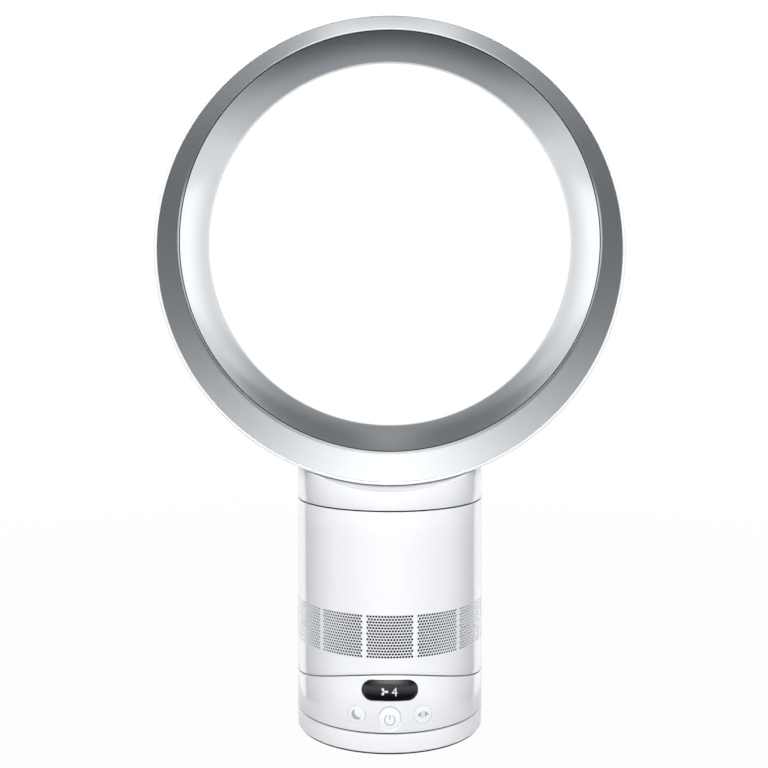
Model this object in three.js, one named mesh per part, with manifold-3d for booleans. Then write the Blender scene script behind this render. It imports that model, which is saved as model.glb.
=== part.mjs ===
// Bladeless desk fan in millimetres: +Z up, the front faces -Y, and the origin lies on the floor
// under the column's axis. Each moving assembly is a group that stands on its own seam:
// foot, base (swings), body (tilts), impeller (spins) and loop (twists off).
import * as THREE from 'three';
import { mergeVertices } from 'three/addons/utils/BufferGeometryUtils.js';
import Module from 'manifold-3d';

const wasm = await Module();
wasm.setup();

// ---------------------------------------------------------------- clearances
const seam = 0.6; // open joint between two visible shells
const fitGap = 0.3; // gap between a piece and its seat
const runGap = 0.8; // gap beside a turning piece
const cutPast = 2; // a cutting shape runs this far past what it cuts
const weld = 1; // a joined shape reaches this far into its neighbour

// ---------------------------------------------------------------- column
const columnR = 73; // outer radius of foot, base, body and neck
const shellWall = 2.2; // wall of the column's shells
const shellInnerR = columnR - shellWall;
const insideR = shellInnerR - fitGap; // pieces that fill the column's bore
const columnFacets = 48;
const innerFacets = 18;
const smallFacets = 8;
const facetEase = 1 / Math.cos(Math.PI / innerFacets); // keeps the flats of a bore at its radius
const arcFacets = 90;

// ---------------------------------------------------------------- foot
const footHeight = 15.4;
const footEdgeLift = 0.6; // the shell's lower edge above the floor
const footEdgeRound = 1.5;
const footFlangeWidth = 27;
const footFlangeInnerR = columnR - footFlangeWidth;
const footFlangeThick = 2;
const footPlateLift = 1.2;
const footPlateThick = 3;
const footPlateTop = footPlateLift + footPlateThick;
const footRingInset = 7; // rubber ring behind the column's face
const footRingWidth = 10;
const footRingOuterR = columnR - footRingInset;
const footRingInnerR = footRingOuterR - footRingWidth;
const footRingHeight = 2.2;
const postOuterR = 13.2;
const postInnerR = 10;
const postRise = 7; // the pivot post above the turntable
const footScrewInset = 23.5;
const footScrewR = columnR - footScrewInset; // circle of the foot's screws
const footScrewAngles = [-90, 10, 170];
const screwShankR = 1.5;
const screwHeadR = 3;
const screwHeadThick = 1.7;
const screwBossR = 3.5;
const screwTipGap = 2.4;

// ---------------------------------------------------------------- swing drive
const gearModule = 1.5;
const sunTeeth = 40;
const sunToothCount = 16; // teeth cut on the fixed gear, centred on the rear
const pinionTeeth = 12;
const gearThick = 5;
const gearLift = 3.3; // gear face above the foot plate
const gearHubWidth = 6;
const addendum = 0.9; // in modules
const dedendum = 1.25; // in modules
const toothShare = 0.86; // tooth thickness as a share of half the pitch
const pressureTan = Math.tan(THREE.MathUtils.degToRad(20));
const meshEase = 0.2; // added to the centre distance
const sunPitchR = (gearModule * sunTeeth) / 2;
const pinionPitchR = (gearModule * pinionTeeth) / 2;
const driveY = sunPitchR + pinionPitchR + meshEase; // pinion axis behind the column's axis
const driveShaftR = 2.5;
const motorCanR = 14;
const motorCanHeight = 18;

// ---------------------------------------------------------------- power inlet
const inletRise = 8.8; // axis of the inlet above the floor
const inletBoreR = 3.2;
const inletPinR = 1;
const inletNoseR = 4.4;
const inletDepth = 9;
const inletBlock = 8.6; // height and half the length of the inlet's block
const inletRecess = 0.4; // the nose behind the shell's outer face
const inletSetback = 1.5; // the block behind the shell's wall

// ---------------------------------------------------------------- base
const baseSideHeight = 27.9; // lowest point of the cradle's arc above the base's lower edge
const cradleR = 180.4; // radius of the cradle's face about the tilt axis
const cradleThick = 3;
const washerInset = 13;
const washerWidth = 10;
const washerOuterR = columnR - washerInset;
const washerInnerR = washerOuterR - washerWidth;
const washerThick = 1.2;
const turntableThick = 2.5;
const turntableLow = washerThick + 2 * fitGap - seam;
const turntableTop = turntableLow + turntableThick;
const retainerOuterR = 18;
const retainerThick = 1.8;

// ---------------------------------------------------------------- display and buttons
const displayWidth = 41.3;
const displayHeight = 15.3;
const baseFrontHeight = baseSideHeight + cradleR - Math.sqrt(cradleR ** 2 - columnR ** 2);
const displayDrop = 11.63; // window's centre below the shell's front edge
const displayRise = baseFrontHeight - displayDrop;
const moduleWidth = 36;
const moduleHeight = 7.6;
const moduleDepth = 3;
const moduleDrop = 0.5;
const moduleRise = displayRise - moduleDrop;
const boardThick = 1.6;
const displayBoardWidth = 40;
const displayBoardDrop = 2; // the board's edge below the module
const powerR = 7.8;
const sideButtonR = 6.5;
const powerRise = 11.1;
const sideButtonRise = 12.8;
const sideButtonX = 24.6;
const buttonGap = 0.35; // round each button cap
const capFlange = 1.2; // width and thickness of the lip behind the shell
const buttonTravel = 0.5;
const stemR = 2.5;
const switchSize = 6;
const switchDepth = 3.5;
const controlBoardWidth = 62;
const controlBoardHeight = 16;
const controlBoardLift = 2.8; // lower edge above the turntable's underside

// ---------------------------------------------------------------- tilt rails
const tiltLimit = THREE.MathUtils.degToRad(10);
const railX = 30;
const railHalfLength = 9;
const railStem = 3;
const railHook = 8;
const railHookThick = 2.2;
const slotGap = 0.5;
const leadHoleR = 6;

// ---------------------------------------------------------------- body
const bodyArcR = cradleR - seam;
const bodyHeight = 135.1; // lowest point of the body's arc to its top edge
const floorThick = 2.4;
const foamThick = 6;
const foamInset = 10.5;
const foamR = insideR - foamInset;
const bandRise = 26.8; // lower edge of the perforated band
const bandHeight = 32;
const panelCount = 12;
const panelRib = 2.7; // plain strip between two panels
const holeR = 1.9;
const holeRows = 4;
const holeColumns = 3;
const holeSides = 4;
const ledgeRise = 61;
const ledgeThick = 2.5;
const ledgeWidth = 7.8;
const ledgeInnerR = shellInnerR - ledgeWidth;
const spigotInset = 11.4;
const spigotR = columnR - spigotInset; // the neck's spigot inside the lock ring
const bayonetThick = 4.6;
const bayonetDrop = 1; // the lock ring's top below the body's top edge
const lugCount = 3;
const lugHalfAngle = 6;
const twistAngle = 15;
const notchEase = 2;
const lugThick = 4;
const lugReach = 4.9;
const lugOuterR = spigotR + lugReach;
const lugPlay = 0.5;
const gasketThick = 1;
const gasketInset = 1;
const gasketOuterR = insideR - gasketInset;

// ---------------------------------------------------------------- impeller, housing and motor
const shaftR = 4;
const bossR = 9;
const outletInset = 14.5;
const outletR = columnR - outletInset; // blade tips at the outlet
const tipRun = 14;
const inletR = outletR - tipRun; // blade tips at the inlet
const hubInletR = 12;
const outletChannel = 18.5;
const hubOutletR = outletR - outletChannel;
const impellerHeight = 24;
const bladeCount = 9;
const bladeThick = 1.6;
const bladeSweep = 0.75; // turn of a blade from inlet to outlet, in radians
const bladeSteps = 3;
const bladeSink = 1.2; // root of a blade inside the hub
const hubWall = 2.4;
const housingWall = 2;
const housingFlange = 2.4;
const housingInset = 1;
const housingFlangeR = insideR - housingInset;
const sealThick = 2;
const sealInset = 0.2; // the lip seal behind the ledge's edge
const sealInnerR = ledgeInnerR + sealInset;
const sealWidth = 1.4;
const mountR = 2;
const mountInset = 2.9;
const mountCircleR = insideR - mountInset;
const mountCount = 3;
const bellmouthWall = 2;
const bellmouthDrop = 8.5;
const bellmouthInset = 3;
const bellmouthLipR = ledgeInnerR - bellmouthInset;
const bucketGap = 1.5;
const bucketWall = 1.8;
const bucketHeight = 22;
const bearingR = 9;
const bearingThick = 4;
const bearingWall = 2;
const driverBoardInnerR = 12;
const statorInnerR = 17;
const statorRise = 5.5;
const statorHeight = 13;
const rotorR = 16.2;
const rotorInset = 1.5;
const coverRise = 7;
const coverRimThick = 2;
const vaneCount = 8;
const vaneThick = 1.6;
const vaneHeight = 5.5;

// ---------------------------------------------------------------- neck
const spigotWall = 3.6;
const spigotDrop = 12.2;
const neckRise = 14.3; // front ledge of the saddle above the neck's lower edge
const neckFloorThick = 2.2;
const ductHalfX = 26;
const ductFront = -24;
const ductRear = 16;
const loopScrewX = 40;
const loopScrewY = -4;
const loopScrewLength = 12;
const loopBossR = 4;

// ---------------------------------------------------------------- loop
const throatR = 146.4; // narrowest circle of the hole
const loopBand = 32.1; // from the throat out to the white shell's outer circle
const loopOuterR = throatR + loopBand;
const loopOffset = 7.5; // the outer circle lies this far below the inner circles
const loopGap = 0.5; // dark line between loop and neck
const loopWall = 2.3; // also the width of the white rim
const loopFront = -46;
const loopRear = 42;
const rimRound = 1.2;
const rearStart = 10; // where the outer shell starts to round in
const rearApexInset = 18.5;
const rearApexR = loopOuterR - rearApexInset;
const throatY = 14;
const noseR = 16; // radius of the slot's rounded nose
const noseLength = 13;
const diffuserAngle = THREE.MathUtils.degToRad(17.5);
const diffuserFront = -36;
const diffuserWall = 2;
const lipRise = 1.9; // the lip stands this far outside the throat
const lipR = throatR + lipRise;
const lipThick = 1.2;
const lipLength = 3;
const slotWidth = 1.3;
const spacerCount = 10;
const spacerWidth = 2;
const spacerLength = 3;
const grooveR = 0.35; // the groove between bevel and diffuser, along the radius
const grooveY = 0.4; // and along the depth
const bezelRecess = 0.6;
const bezelThick = 2.4;
const bezelSkirt = 1.6;
const ledgeFront = -39.4; // the shell's inner rib that carries bezel and diffuser
const ledgeRear = -34.7;
const ledgeReach = 2.7;
const diffuserFlange = 2;
const loopFacets = 48;
const curveSteps = 4;
const noseSteps = 6;

// ---------------------------------------------------------------- heights that follow
const baseLow = footHeight + seam;
const tiltAxisZ = baseLow + baseSideHeight + cradleR;
const bodyLow = tiltAxisZ - bodyArcR;
const neckLow = bodyLow + bodyHeight + seam;
const loopCentreRise = neckRise + loopGap + loopOuterR + loopOffset; // above the neck's lower edge

// ---------------------------------------------------------------- materials
const finish = (color, roughness, metalness) =>
  new THREE.MeshStandardMaterial({ color, roughness, metalness });
const whiteAbs = finish('#e8eaee', 0.18, 0);
const silverPaint = finish('#a3a9ac', 0.25, 0.85);
const blackWindow = finish('#08090b', 0.08, 0);
const capAbs = finish('#eceef1', 0.25, 0);
const innerAbs = finish('#c9ccd0', 0.5, 0);
const darkAbs = finish('#2a2c2f', 0.5, 0);
const rubber = finish('#26272a', 0.85, 0);
const foam = finish('#3a3b3e', 1, 0);
const steel = finish('#9b9ea1', 0.35, 1);
const copper = finish('#a65f3a', 0.4, 1);
const board = finish('#1f5a38', 0.5, 0);
const acetal = finish('#e2dfd4', 0.45, 0);

// ---------------------------------------------------------------- solids
// A closed triangle mesh with shared corners, without the faces that collapsed on an axis.
function solidFrom(geometry) {
  const bare = new THREE.BufferGeometry();
  bare.setAttribute('position', geometry.getAttribute('position'));
  bare.setIndex(geometry.index);
  const merged = mergeVertices(bare, 1e-4);
  const corners = merged.index.array;
  const kept = [];
  for (let i = 0; i < corners.length; i += 3) {
    const [a, b, c] = corners.subarray(i, i + 3);
    if (a !== b && b !== c && c !== a) kept.push(a, b, c);
  }
  const triVerts = new Uint32Array(kept);
  const vertProperties = merged.getAttribute('position').array;
  return new wasm.Manifold(new wasm.Mesh({ numProp: 3, vertProperties, triVerts }));
}

const asSolid = (shape) => (shape.isBufferGeometry ? solidFrom(shape) : shape);

const join = (...shapes) => shapes.map(asSolid).reduce((sum, next) => sum.add(next));

const cut = (shape, ...tools) => asSolid(shape).subtract(join(...tools));

const common = (first, second) => asSolid(first).intersect(asSolid(second));

function part(name, shape, material) {
  const { vertProperties, triVerts } = asSolid(shape).getMesh();
  const geometry = new THREE.BufferGeometry();
  geometry.setAttribute('position', new THREE.BufferAttribute(vertProperties, 3));
  geometry.setIndex(new THREE.BufferAttribute(triVerts, 1));
  geometry.computeVertexNormals();
  const mesh = new THREE.Mesh(geometry, material);
  mesh.name = name;
  return mesh;
}

// ---------------------------------------------------------------- primitive shapes
// Points of a closed outline, in the order that turns its faces outwards.
function closedOutline(pairs) {
  const points = pairs.map(([x, y]) => new THREE.Vector2(x, y));
  if (THREE.ShapeUtils.area(points) < 0) points.reverse();
  return [...points, points[0].clone()];
}

// Turns a profile of [radius, height] pairs about the Z axis.
function turned(profile, facets) {
  return new THREE.LatheGeometry(closedOutline(profile), facets).rotateX(Math.PI / 2);
}

function tube(innerR, outerR, low, high, facets) {
  return turned([[innerR, low], [outerR, low], [outerR, high], [innerR, high]], facets);
}

function rod(radius, low, high, facets = smallFacets) {
  return new THREE.CylinderGeometry(radius, radius, high - low, facets)
    .rotateX(Math.PI / 2)
    .translate(0, 0, (low + high) / 2);
}

// A rod along Y, at x and z.
function crossRod(radius, front, rear, x, z, facets = 16) {
  return new THREE.CylinderGeometry(radius, radius, rear - front, facets)
    .translate(x, (front + rear) / 2, z);
}

function block([left, right], [front, rear], [low, high]) {
  return new THREE.BoxGeometry(right - left, rear - front, high - low)
    .translate((left + right) / 2, (front + rear) / 2, (low + high) / 2);
}

// A drum that spans the column along X, for the arcs about the tilt axis.
function tiltDrum(radius, axisZ) {
  return new THREE.CylinderGeometry(radius, radius, 2 * (columnR + cutPast), arcFacets)
    .rotateZ(Math.PI / 2)
    .translate(0, 0, axisZ);
}

// An arc-shaped slab about the tilt axis, inside a round plan.
function arcSlab(innerR, outerR, planR, axisZ) {
  const shell = cut(tiltDrum(outerR, axisZ), tiltDrum(innerR, axisZ));
  return common(shell, rod(planR, axisZ - outerR - cutPast, axisZ - innerR / 2, columnFacets));
}

// A pill-shaped bar along Y, centred on x = 0.
function pill(width, height, front, rear, z) {
  const round = height / 2;
  const straight = width / 2 - round;
  const outline = new THREE.Shape();
  outline.absarc(straight, 0, round, -Math.PI / 2, Math.PI / 2);
  outline.absarc(-straight, 0, round, Math.PI / 2, 1.5 * Math.PI);
  return new THREE.ExtrudeGeometry(outline, {
    depth: rear - front,
    bevelEnabled: false,
    curveSegments: 6,
  })
    .rotateX(Math.PI / 2)
    .translate(0, rear, z);
}

// ================================================================ foot
function footShell() {
  const shell = turned([
    [columnR - footEdgeRound, footEdgeLift],
    [columnR - footEdgeRound * 0.3, footEdgeLift + footEdgeRound * 0.3],
    [columnR, footEdgeLift + footEdgeRound],
    [columnR, footHeight],
    [footFlangeInnerR, footHeight],
    [footFlangeInnerR, footHeight - footFlangeThick],
    [shellInnerR, footHeight - footFlangeThick],
    [shellInnerR, footEdgeLift],
  ], columnFacets);
  const bosses = footScrewAngles.map((angle) => atFootScrew(
    rod(screwBossR, footPlateTop + fitGap, footHeight - footFlangeThick / 2), angle));
  const pilots = footScrewAngles.map((angle) => atFootScrew(
    rod(screwShankR + fitGap, 0, footHeight - footFlangeThick), angle));
  const inletHole = crossRod(inletNoseR + buttonGap, shellInnerR - cutPast, columnR + cutPast, 0, inletRise);
  return part('foot_shell', cut(join(shell, ...bosses), ...pilots, inletHole), whiteAbs);
}

function atFootScrew(geometry, angle) {
  const turn = THREE.MathUtils.degToRad(angle);
  return geometry.translate(footScrewR * Math.cos(turn), footScrewR * Math.sin(turn), 0);
}

function footPlate() {
  const grooveTop = footRingHeight + fitGap;
  const plate = turned([
    [0, footPlateLift],
    [footRingInnerR - fitGap, footPlateLift],
    [footRingInnerR - fitGap, grooveTop],
    [footRingOuterR + fitGap, grooveTop],
    [footRingOuterR + fitGap, footPlateLift],
    [insideR, footPlateLift],
    [insideR, footPlateTop],
    [0, footPlateTop],
  ], columnFacets);
  const holes = footScrewAngles.flatMap((angle) => [
    atFootScrew(rod(screwShankR + fitGap, 0, footPlateTop + cutPast), angle),
    atFootScrew(rod(screwHeadR + fitGap, 0, footPlateLift + screwHeadThick + 2 * fitGap), angle),
  ]);
  return part('foot_plate', cut(plate, ...holes), darkAbs);
}

function footRing() {
  return part('foot_ring', tube(footRingInnerR, footRingOuterR, 0, footRingHeight, columnFacets), rubber);
}

function footScrew(index) {
  const headLow = footPlateLift + fitGap;
  const headTop = headLow + screwHeadThick;
  const shankTop = footHeight - footFlangeThick - screwTipGap;
  const screw = turned([
    [0, headLow],
    [screwHeadR, headLow],
    [screwHeadR, headTop],
    [screwShankR, headTop],
    [screwShankR, shankTop],
    [0, shankTop],
  ], smallFacets);
  return part(`foot_screw_${index + 1}`, atFootScrew(screw, footScrewAngles[index]), steel);
}

function pivotPost() {
  const low = footPlateTop + fitGap;
  const high = baseLow + turntableTop + postRise;
  return part('pivot_post', tube(postInnerR, postOuterR, low, high, innerFacets), darkAbs);
}

function pivotRetainer() {
  const low = baseLow + turntableTop + fitGap;
  const ring = tube(postOuterR + fitGap, retainerOuterR, low, low + retainerThick, innerFacets);
  return part('pivot_retainer', ring, steel);
}

function thrustWasher() {
  const low = footHeight + fitGap;
  const ring = tube(washerInnerR, washerOuterR, low, low + washerThick, innerFacets);
  return part('thrust_washer', ring, acetal);
}

// Outline of straight-flanked teeth. The first tooth points at startAngle.
function toothedOutline(teeth, cutTeeth, startAngle) {
  const pitchR = (gearModule * teeth) / 2;
  const rootR = pitchR - dedendum * gearModule;
  const tipR = pitchR + addendum * gearModule;
  const halfThick = (Math.PI * gearModule * toothShare) / 4;
  const rootTurn = (halfThick + dedendum * gearModule * pressureTan) / rootR;
  const tipTurn = (halfThick - addendum * gearModule * pressureTan) / tipR;
  const step = (2 * Math.PI) / teeth;
  const at = (radius, angle) => new THREE.Vector2(radius * Math.cos(angle), radius * Math.sin(angle));
  const points = [];
  for (let i = 0; i < cutTeeth; i += 1) {
    const angle = startAngle + i * step;
    points.push(at(rootR, angle - rootTurn), at(tipR, angle - tipTurn));
    points.push(at(tipR, angle + tipTurn), at(rootR, angle + rootTurn));
  }
  for (let i = cutTeeth; i < teeth; i += 2) points.push(at(rootR, startAngle + i * step));
  return new THREE.Shape(points);
}

function gearDisc(outline, low, thick) {
  return new THREE.ExtrudeGeometry(outline, { depth: thick, bevelEnabled: false })
    .translate(0, 0, low);
}

const gearLow = footPlateTop + gearLift;

function swingGear() {
  const step = (2 * Math.PI) / sunTeeth;
  const start = Math.PI / 2 - ((sunToothCount - 1) / 2) * step;
  const disc = gearDisc(toothedOutline(sunTeeth, sunToothCount, start), gearLow, gearThick);
  const hub = rod(postOuterR + gearHubWidth, footPlateTop + fitGap, gearLow + gearThick, innerFacets);
  const bore = rod(postOuterR + fitGap, 0, footHeight, innerFacets);
  return part('swing_gear', cut(join(disc, hub), bore), acetal);
}

// A barrel socket: a square block behind the shell and a round nose in the shell's hole.
function powerInlet() {
  const noseEnd = columnR - inletRecess;
  const blockRear = insideR - inletSetback;
  const blockFront = blockRear - inletBlock;
  const half = inletBlock / 2;
  const body = block([-half, half], [blockFront, blockRear], [inletRise - half, inletRise + half]);
  const nose = crossRod(inletNoseR, blockRear - weld, noseEnd, 0, inletRise, 16);
  const bore = crossRod(inletBoreR, noseEnd - inletDepth, noseEnd + cutPast, 0, inletRise, 16);
  const pin = crossRod(inletPinR, noseEnd - inletDepth - weld, noseEnd - weld, 0, inletRise, 8);
  return part('power_inlet', join(cut(join(body, nose), bore), pin), darkAbs);
}

function footGroup() {
  const group = new THREE.Group();
  group.add(footShell(), footPlate(), footRing());
  footScrewAngles.forEach((_, index) => group.add(footScrew(index)));
  group.add(pivotPost(), pivotRetainer(), thrustWasher(), swingGear(), powerInlet());
  return group;
}

// ================================================================ base, from its lower edge up
const baseTiltZ = baseSideHeight + cradleR;
const shaftHoleR = driveShaftR + runGap;
const capBackY = -shellInnerR + weld; // back of the power cap's face, behind the shell
const sideEdgeX = sideButtonX + sideButtonR + buttonGap + capFlange;
const sideBackY = -Math.sqrt(shellInnerR ** 2 - sideEdgeX ** 2) + fitGap;
const stemEndY = sideBackY + capFlange; // all three stems end in one plane
const switchFrontY = stemEndY + buttonTravel + fitGap;
const controlBoardY = switchFrontY + switchDepth + fitGap;
const moduleFrontY = -Math.sqrt(shellInnerR ** 2 - (moduleWidth / 2) ** 2) + fitGap;
const displayBoardY = moduleFrontY + moduleDepth + fitGap;

const buttons = [
  { name: 'timer', x: -sideButtonX, rise: sideButtonRise, radius: sideButtonR },
  { name: 'power', x: 0, rise: powerRise, radius: powerR },
  { name: 'swing', x: sideButtonX, rise: sideButtonRise, radius: sideButtonR },
];

function baseShell() {
  const wall = tube(shellInnerR, columnR, 0, baseTiltZ / 2, columnFacets);
  const window = pill(
    displayWidth + 2 * fitGap, displayHeight + 2 * fitGap, -columnR - cutPast, 0, displayRise);
  const holes = buttons.map(({ x, rise, radius }) =>
    crossRod(radius + buttonGap, -columnR - cutPast, 0, x, rise));
  return part('base_shell', cut(wall, tiltDrum(cradleR, baseTiltZ), window, ...holes), whiteAbs);
}

// The curved deck that the body slides on, with slots for the rails and the lead.
function tiltCradle() {
  const travel = (cradleR + cradleThick) * tiltLimit;
  const slotHalf = railStem / 2 + slotGap;
  const reach = railHalfLength + travel + slotGap;
  const tall = [0, baseTiltZ / 2];
  const slots = [-railX, railX].map((x) => block([x - slotHalf, x + slotHalf], [-reach, reach], tall));
  const lead = block([-leadHoleR, leadHoleR], [-leadHoleR - travel, leadHoleR + travel], tall);
  const deck = arcSlab(cradleR, cradleR + cradleThick, insideR, baseTiltZ);
  return part('tilt_cradle', cut(deck, ...slots, lead), whiteAbs);
}

function turntable() {
  const plate = tube(postOuterR + fitGap, insideR, turntableLow, turntableTop, columnFacets);
  const hole = rod(shaftHoleR, turntableLow - cutPast, turntableTop + cutPast).translate(0, driveY, 0);
  const capHalf = powerR + buttonGap + capFlange + runGap;
  const capRear = capBackY + capFlange + buttonTravel + runGap;
  const capNotch = block([-capHalf, capHalf], [-columnR, capRear], [0, powerRise]);
  return part('turntable', cut(plate, hole, capNotch), innerAbs);
}

function displayWindow() {
  const bar = pill(displayWidth, displayHeight, -columnR - cutPast, 0, displayRise);
  const skin = tube(shellInnerR, columnR, 0, 2 * displayRise, columnFacets);
  return part('display_window', common(bar, skin), blackWindow);
}

function displayModule() {
  const half = moduleWidth / 2;
  const height = [moduleRise - moduleHeight / 2, moduleRise + moduleHeight / 2];
  const body = block([-half, half], [moduleFrontY, moduleFrontY + moduleDepth], height);
  return part('display_module', body, darkAbs);
}

function displayBoard() {
  const half = displayBoardWidth / 2;
  const height = [moduleRise - moduleHeight / 2 - displayBoardDrop, moduleRise + moduleHeight / 2];
  const body = block([-half, half], [displayBoardY, displayBoardY + boardThick], height);
  return part('display_board', body, board);
}

function controlBoard() {
  const half = controlBoardWidth / 2;
  const low = turntableLow + controlBoardLift;
  const depth = [controlBoardY, controlBoardY + boardThick];
  return part('control_board', block([-half, half], depth, [low, low + controlBoardHeight]), board);
}

function tactSwitch({ name, x, rise }) {
  const half = switchSize / 2;
  const body = block([x - half, x + half], [switchFrontY + weld, switchFrontY + switchDepth],
    [rise - half, rise + half]);
  const plunger = crossRod(half / 2, switchFrontY, switchFrontY + 2 * weld, x, rise, smallFacets);
  return part(`switch_${name}`, join(body, plunger), darkAbs);
}

// A round cap whose face follows the column, a lip that holds it in, and a stem to its switch.
function buttonCap({ name, x, rise, radius }) {
  const backY = x === 0 ? capBackY : sideBackY;
  const face = common(
    crossRod(radius, -columnR - cutPast, backY + capFlange, x, rise),
    rod(columnR, 0, 2 * rise, columnFacets));
  const lip = crossRod(radius + buttonGap + capFlange, backY, backY + capFlange, x, rise);
  const stem = crossRod(stemR, backY, stemEndY, x, rise, smallFacets);
  return part(`${name}_button`, join(face, lip, stem), capAbs);
}

function swingMotor() {
  const low = turntableTop + fitGap;
  const can = rod(motorCanR, low, low + motorCanHeight, innerFacets);
  const bore = rod(shaftHoleR, low - cutPast, low + motorCanHeight / 2);
  return part('swing_motor', cut(can, bore).translate([0, driveY, 0]), steel);
}

// The pinion meshes with the fixed gear below the turntable: its shaft ends inside the motor.
function swingPinion() {
  const low = gearLow - baseLow;
  const disc = gearDisc(toothedOutline(pinionTeeth, pinionTeeth, -Math.PI / 2), low, gearThick);
  const shaft = rod(driveShaftR, low, turntableTop + motorCanHeight / 2 - runGap);
  return part('swing_pinion', join(disc, shaft).translate([0, driveY, 0]), acetal);
}

function baseGroup() {
  const group = new THREE.Group();
  group.position.z = baseLow;
  group.add(baseShell(), tiltCradle(), turntable());
  group.add(displayWindow(), displayModule(), displayBoard(), controlBoard());
  buttons.forEach((button) => group.add(tactSwitch(button), buttonCap(button)));
  group.add(swingMotor(), swingPinion());
  return group;
}

// ================================================================ body, from its arc's lowest point up
const bodyTiltZ = bodyArcR;
const sealLow = ledgeRise + ledgeThick + fitGap;
const housingLow = sealLow + sealThick + fitGap;
const impellerLow = housingLow + housingFlange;
const impellerTop = impellerLow + impellerHeight;
const housingTop = bodyHeight + seam - spigotDrop - 1;
const bucketLow = impellerTop + bucketGap;
const bucketTop = bucketLow + bucketHeight;
const bucketFloor = bucketLow + bearingWall;
const coverLow = bucketTop + fitGap;
const bayonetTop = bodyHeight - bayonetDrop;
const bayonetLow = bayonetTop - bayonetThick;
const mouthR = (inletR + runGap) * facetEase;
const ductR = (outletR + runGap) * facetEase;

// One panel's staggered holes, as rods that point out from the column's axis.
function perforations() {
  const rods = [];
  const panelWidth = ((2 * Math.PI) / panelCount) * columnR - panelRib;
  const columnPitch = panelWidth / holeColumns;
  const rowPitch = bandHeight / holeRows;
  for (let panel = 0; panel < panelCount; panel += 1) {
    for (let row = 0; row < holeRows; row += 1) {
      const columns = holeColumns - (row % 2);
      for (let column = 0; column < columns; column += 1) {
        const along = (column - (columns - 1) / 2) * columnPitch;
        const turn = (panel * 2 * Math.PI) / panelCount + along / columnR;
        const hole = new THREE.CylinderGeometry(holeR, holeR, 3 * shellWall, holeSides)
          .translate(0, shellInnerR + shellWall / 2, bandRise + (row + 0.5) * rowPitch)
          .rotateZ(turn);
        rods.push(hole);
      }
    }
  }
  return rods;
}

function bodyCasing() {
  const wall = tube(shellInnerR, columnR, 0, bodyHeight, columnFacets);
  const ledge = tube(ledgeInnerR, shellInnerR + weld, ledgeRise, ledgeRise + ledgeThick, columnFacets);
  const casing = common(join(wall, ledge), tiltDrum(bodyArcR, bodyTiltZ));
  return part('body_casing', cut(casing, ...perforations()), whiteAbs);
}

function bodyFloor() {
  const deck = arcSlab(bodyArcR - floorThick, bodyArcR, insideR, bodyTiltZ);
  return part('body_floor', cut(deck, rod(leadHoleR, -cutPast, foamThick)), whiteAbs);
}

function floorFoam() {
  const outer = bodyArcR - floorThick - fitGap;
  const sheet = arcSlab(outer - foamThick, outer, foamR, bodyTiltZ);
  return part('floor_foam', cut(sheet, rod(leadHoleR, -cutPast, floorThick + 2 * foamThick)), foam);
}

// A runner with a T section: its stem passes the cradle's slot and its hook holds from below.
function tiltRail(name, x) {
  const stemTop = bodyArcR + fitGap;
  const hookTop = cradleR + cradleThick + fitGap;
  const ring = (inner, outer) => cut(tiltDrum(outer, bodyTiltZ), tiltDrum(inner, bodyTiltZ));
  const bar = (width) => block(
    [x - width / 2, x + width / 2], [-railHalfLength, railHalfLength], [-2 * railHook, railHook]);
  const stem = common(ring(stemTop, hookTop + railHookThick / 2), bar(railStem));
  const hook = common(ring(hookTop, hookTop + railHookThick), bar(railHook));
  return part(name, join(stem, hook), acetal);
}

function housingSeal() {
  const lip = tube(sealInnerR, sealInnerR + sealWidth, sealLow, sealLow + sealThick, innerFacets);
  return part('housing_seal', lip, rubber);
}

function housingMount(index) {
  const turn = (index * 2 * Math.PI) / mountCount;
  const puck = rod(mountR, sealLow, sealLow + sealThick)
    .translate(mountCircleR * Math.sin(turn), -mountCircleR * Math.cos(turn), 0);
  return part(`housing_mount_${index + 1}`, puck, rubber);
}

function impellerHousing() {
  return part('impeller_housing', turned([
    [mouthR, housingLow],
    [housingFlangeR, housingLow],
    [housingFlangeR, impellerLow],
    [mouthR + housingWall * 1.5, impellerLow],
    [ductR + housingWall, impellerTop],
    [ductR + housingWall, housingTop],
    [ductR, housingTop],
    [ductR, impellerTop],
    [mouthR, impellerLow],
  ], innerFacets), innerAbs);
}

// A rolled lip that leads the air from the band into the impeller.
function inletBellmouth() {
  const top = sealLow + sealThick;
  const low = top - bellmouthDrop - bellmouthWall;
  const roll = (t, shrink) => [
    bellmouthLipR - (bellmouthLipR - mouthR - shrink) * Math.cos(t),
    top - (bellmouthDrop + bellmouthWall - shrink) * Math.sin(t),
  ];
  const profile = [];
  for (let i = 0; i <= curveSteps; i += 1) profile.push(roll((i / curveSteps) * (Math.PI / 2), 0));
  for (let i = curveSteps; i > 0; i -= 1) {
    profile.push(roll((i / curveSteps) * (Math.PI / 2), bellmouthWall));
  }
  profile.push([mouthR + bellmouthWall, top - bellmouthWall]);
  profile.push([ledgeInnerR - fitGap, top - bellmouthWall], [ledgeInnerR - fitGap, top]);
  return part('inlet_bellmouth', turned(profile, innerFacets), innerAbs);
}

function hubRadius(share) {
  return THREE.MathUtils.lerp(hubInletR, hubOutletR, share);
}

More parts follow.
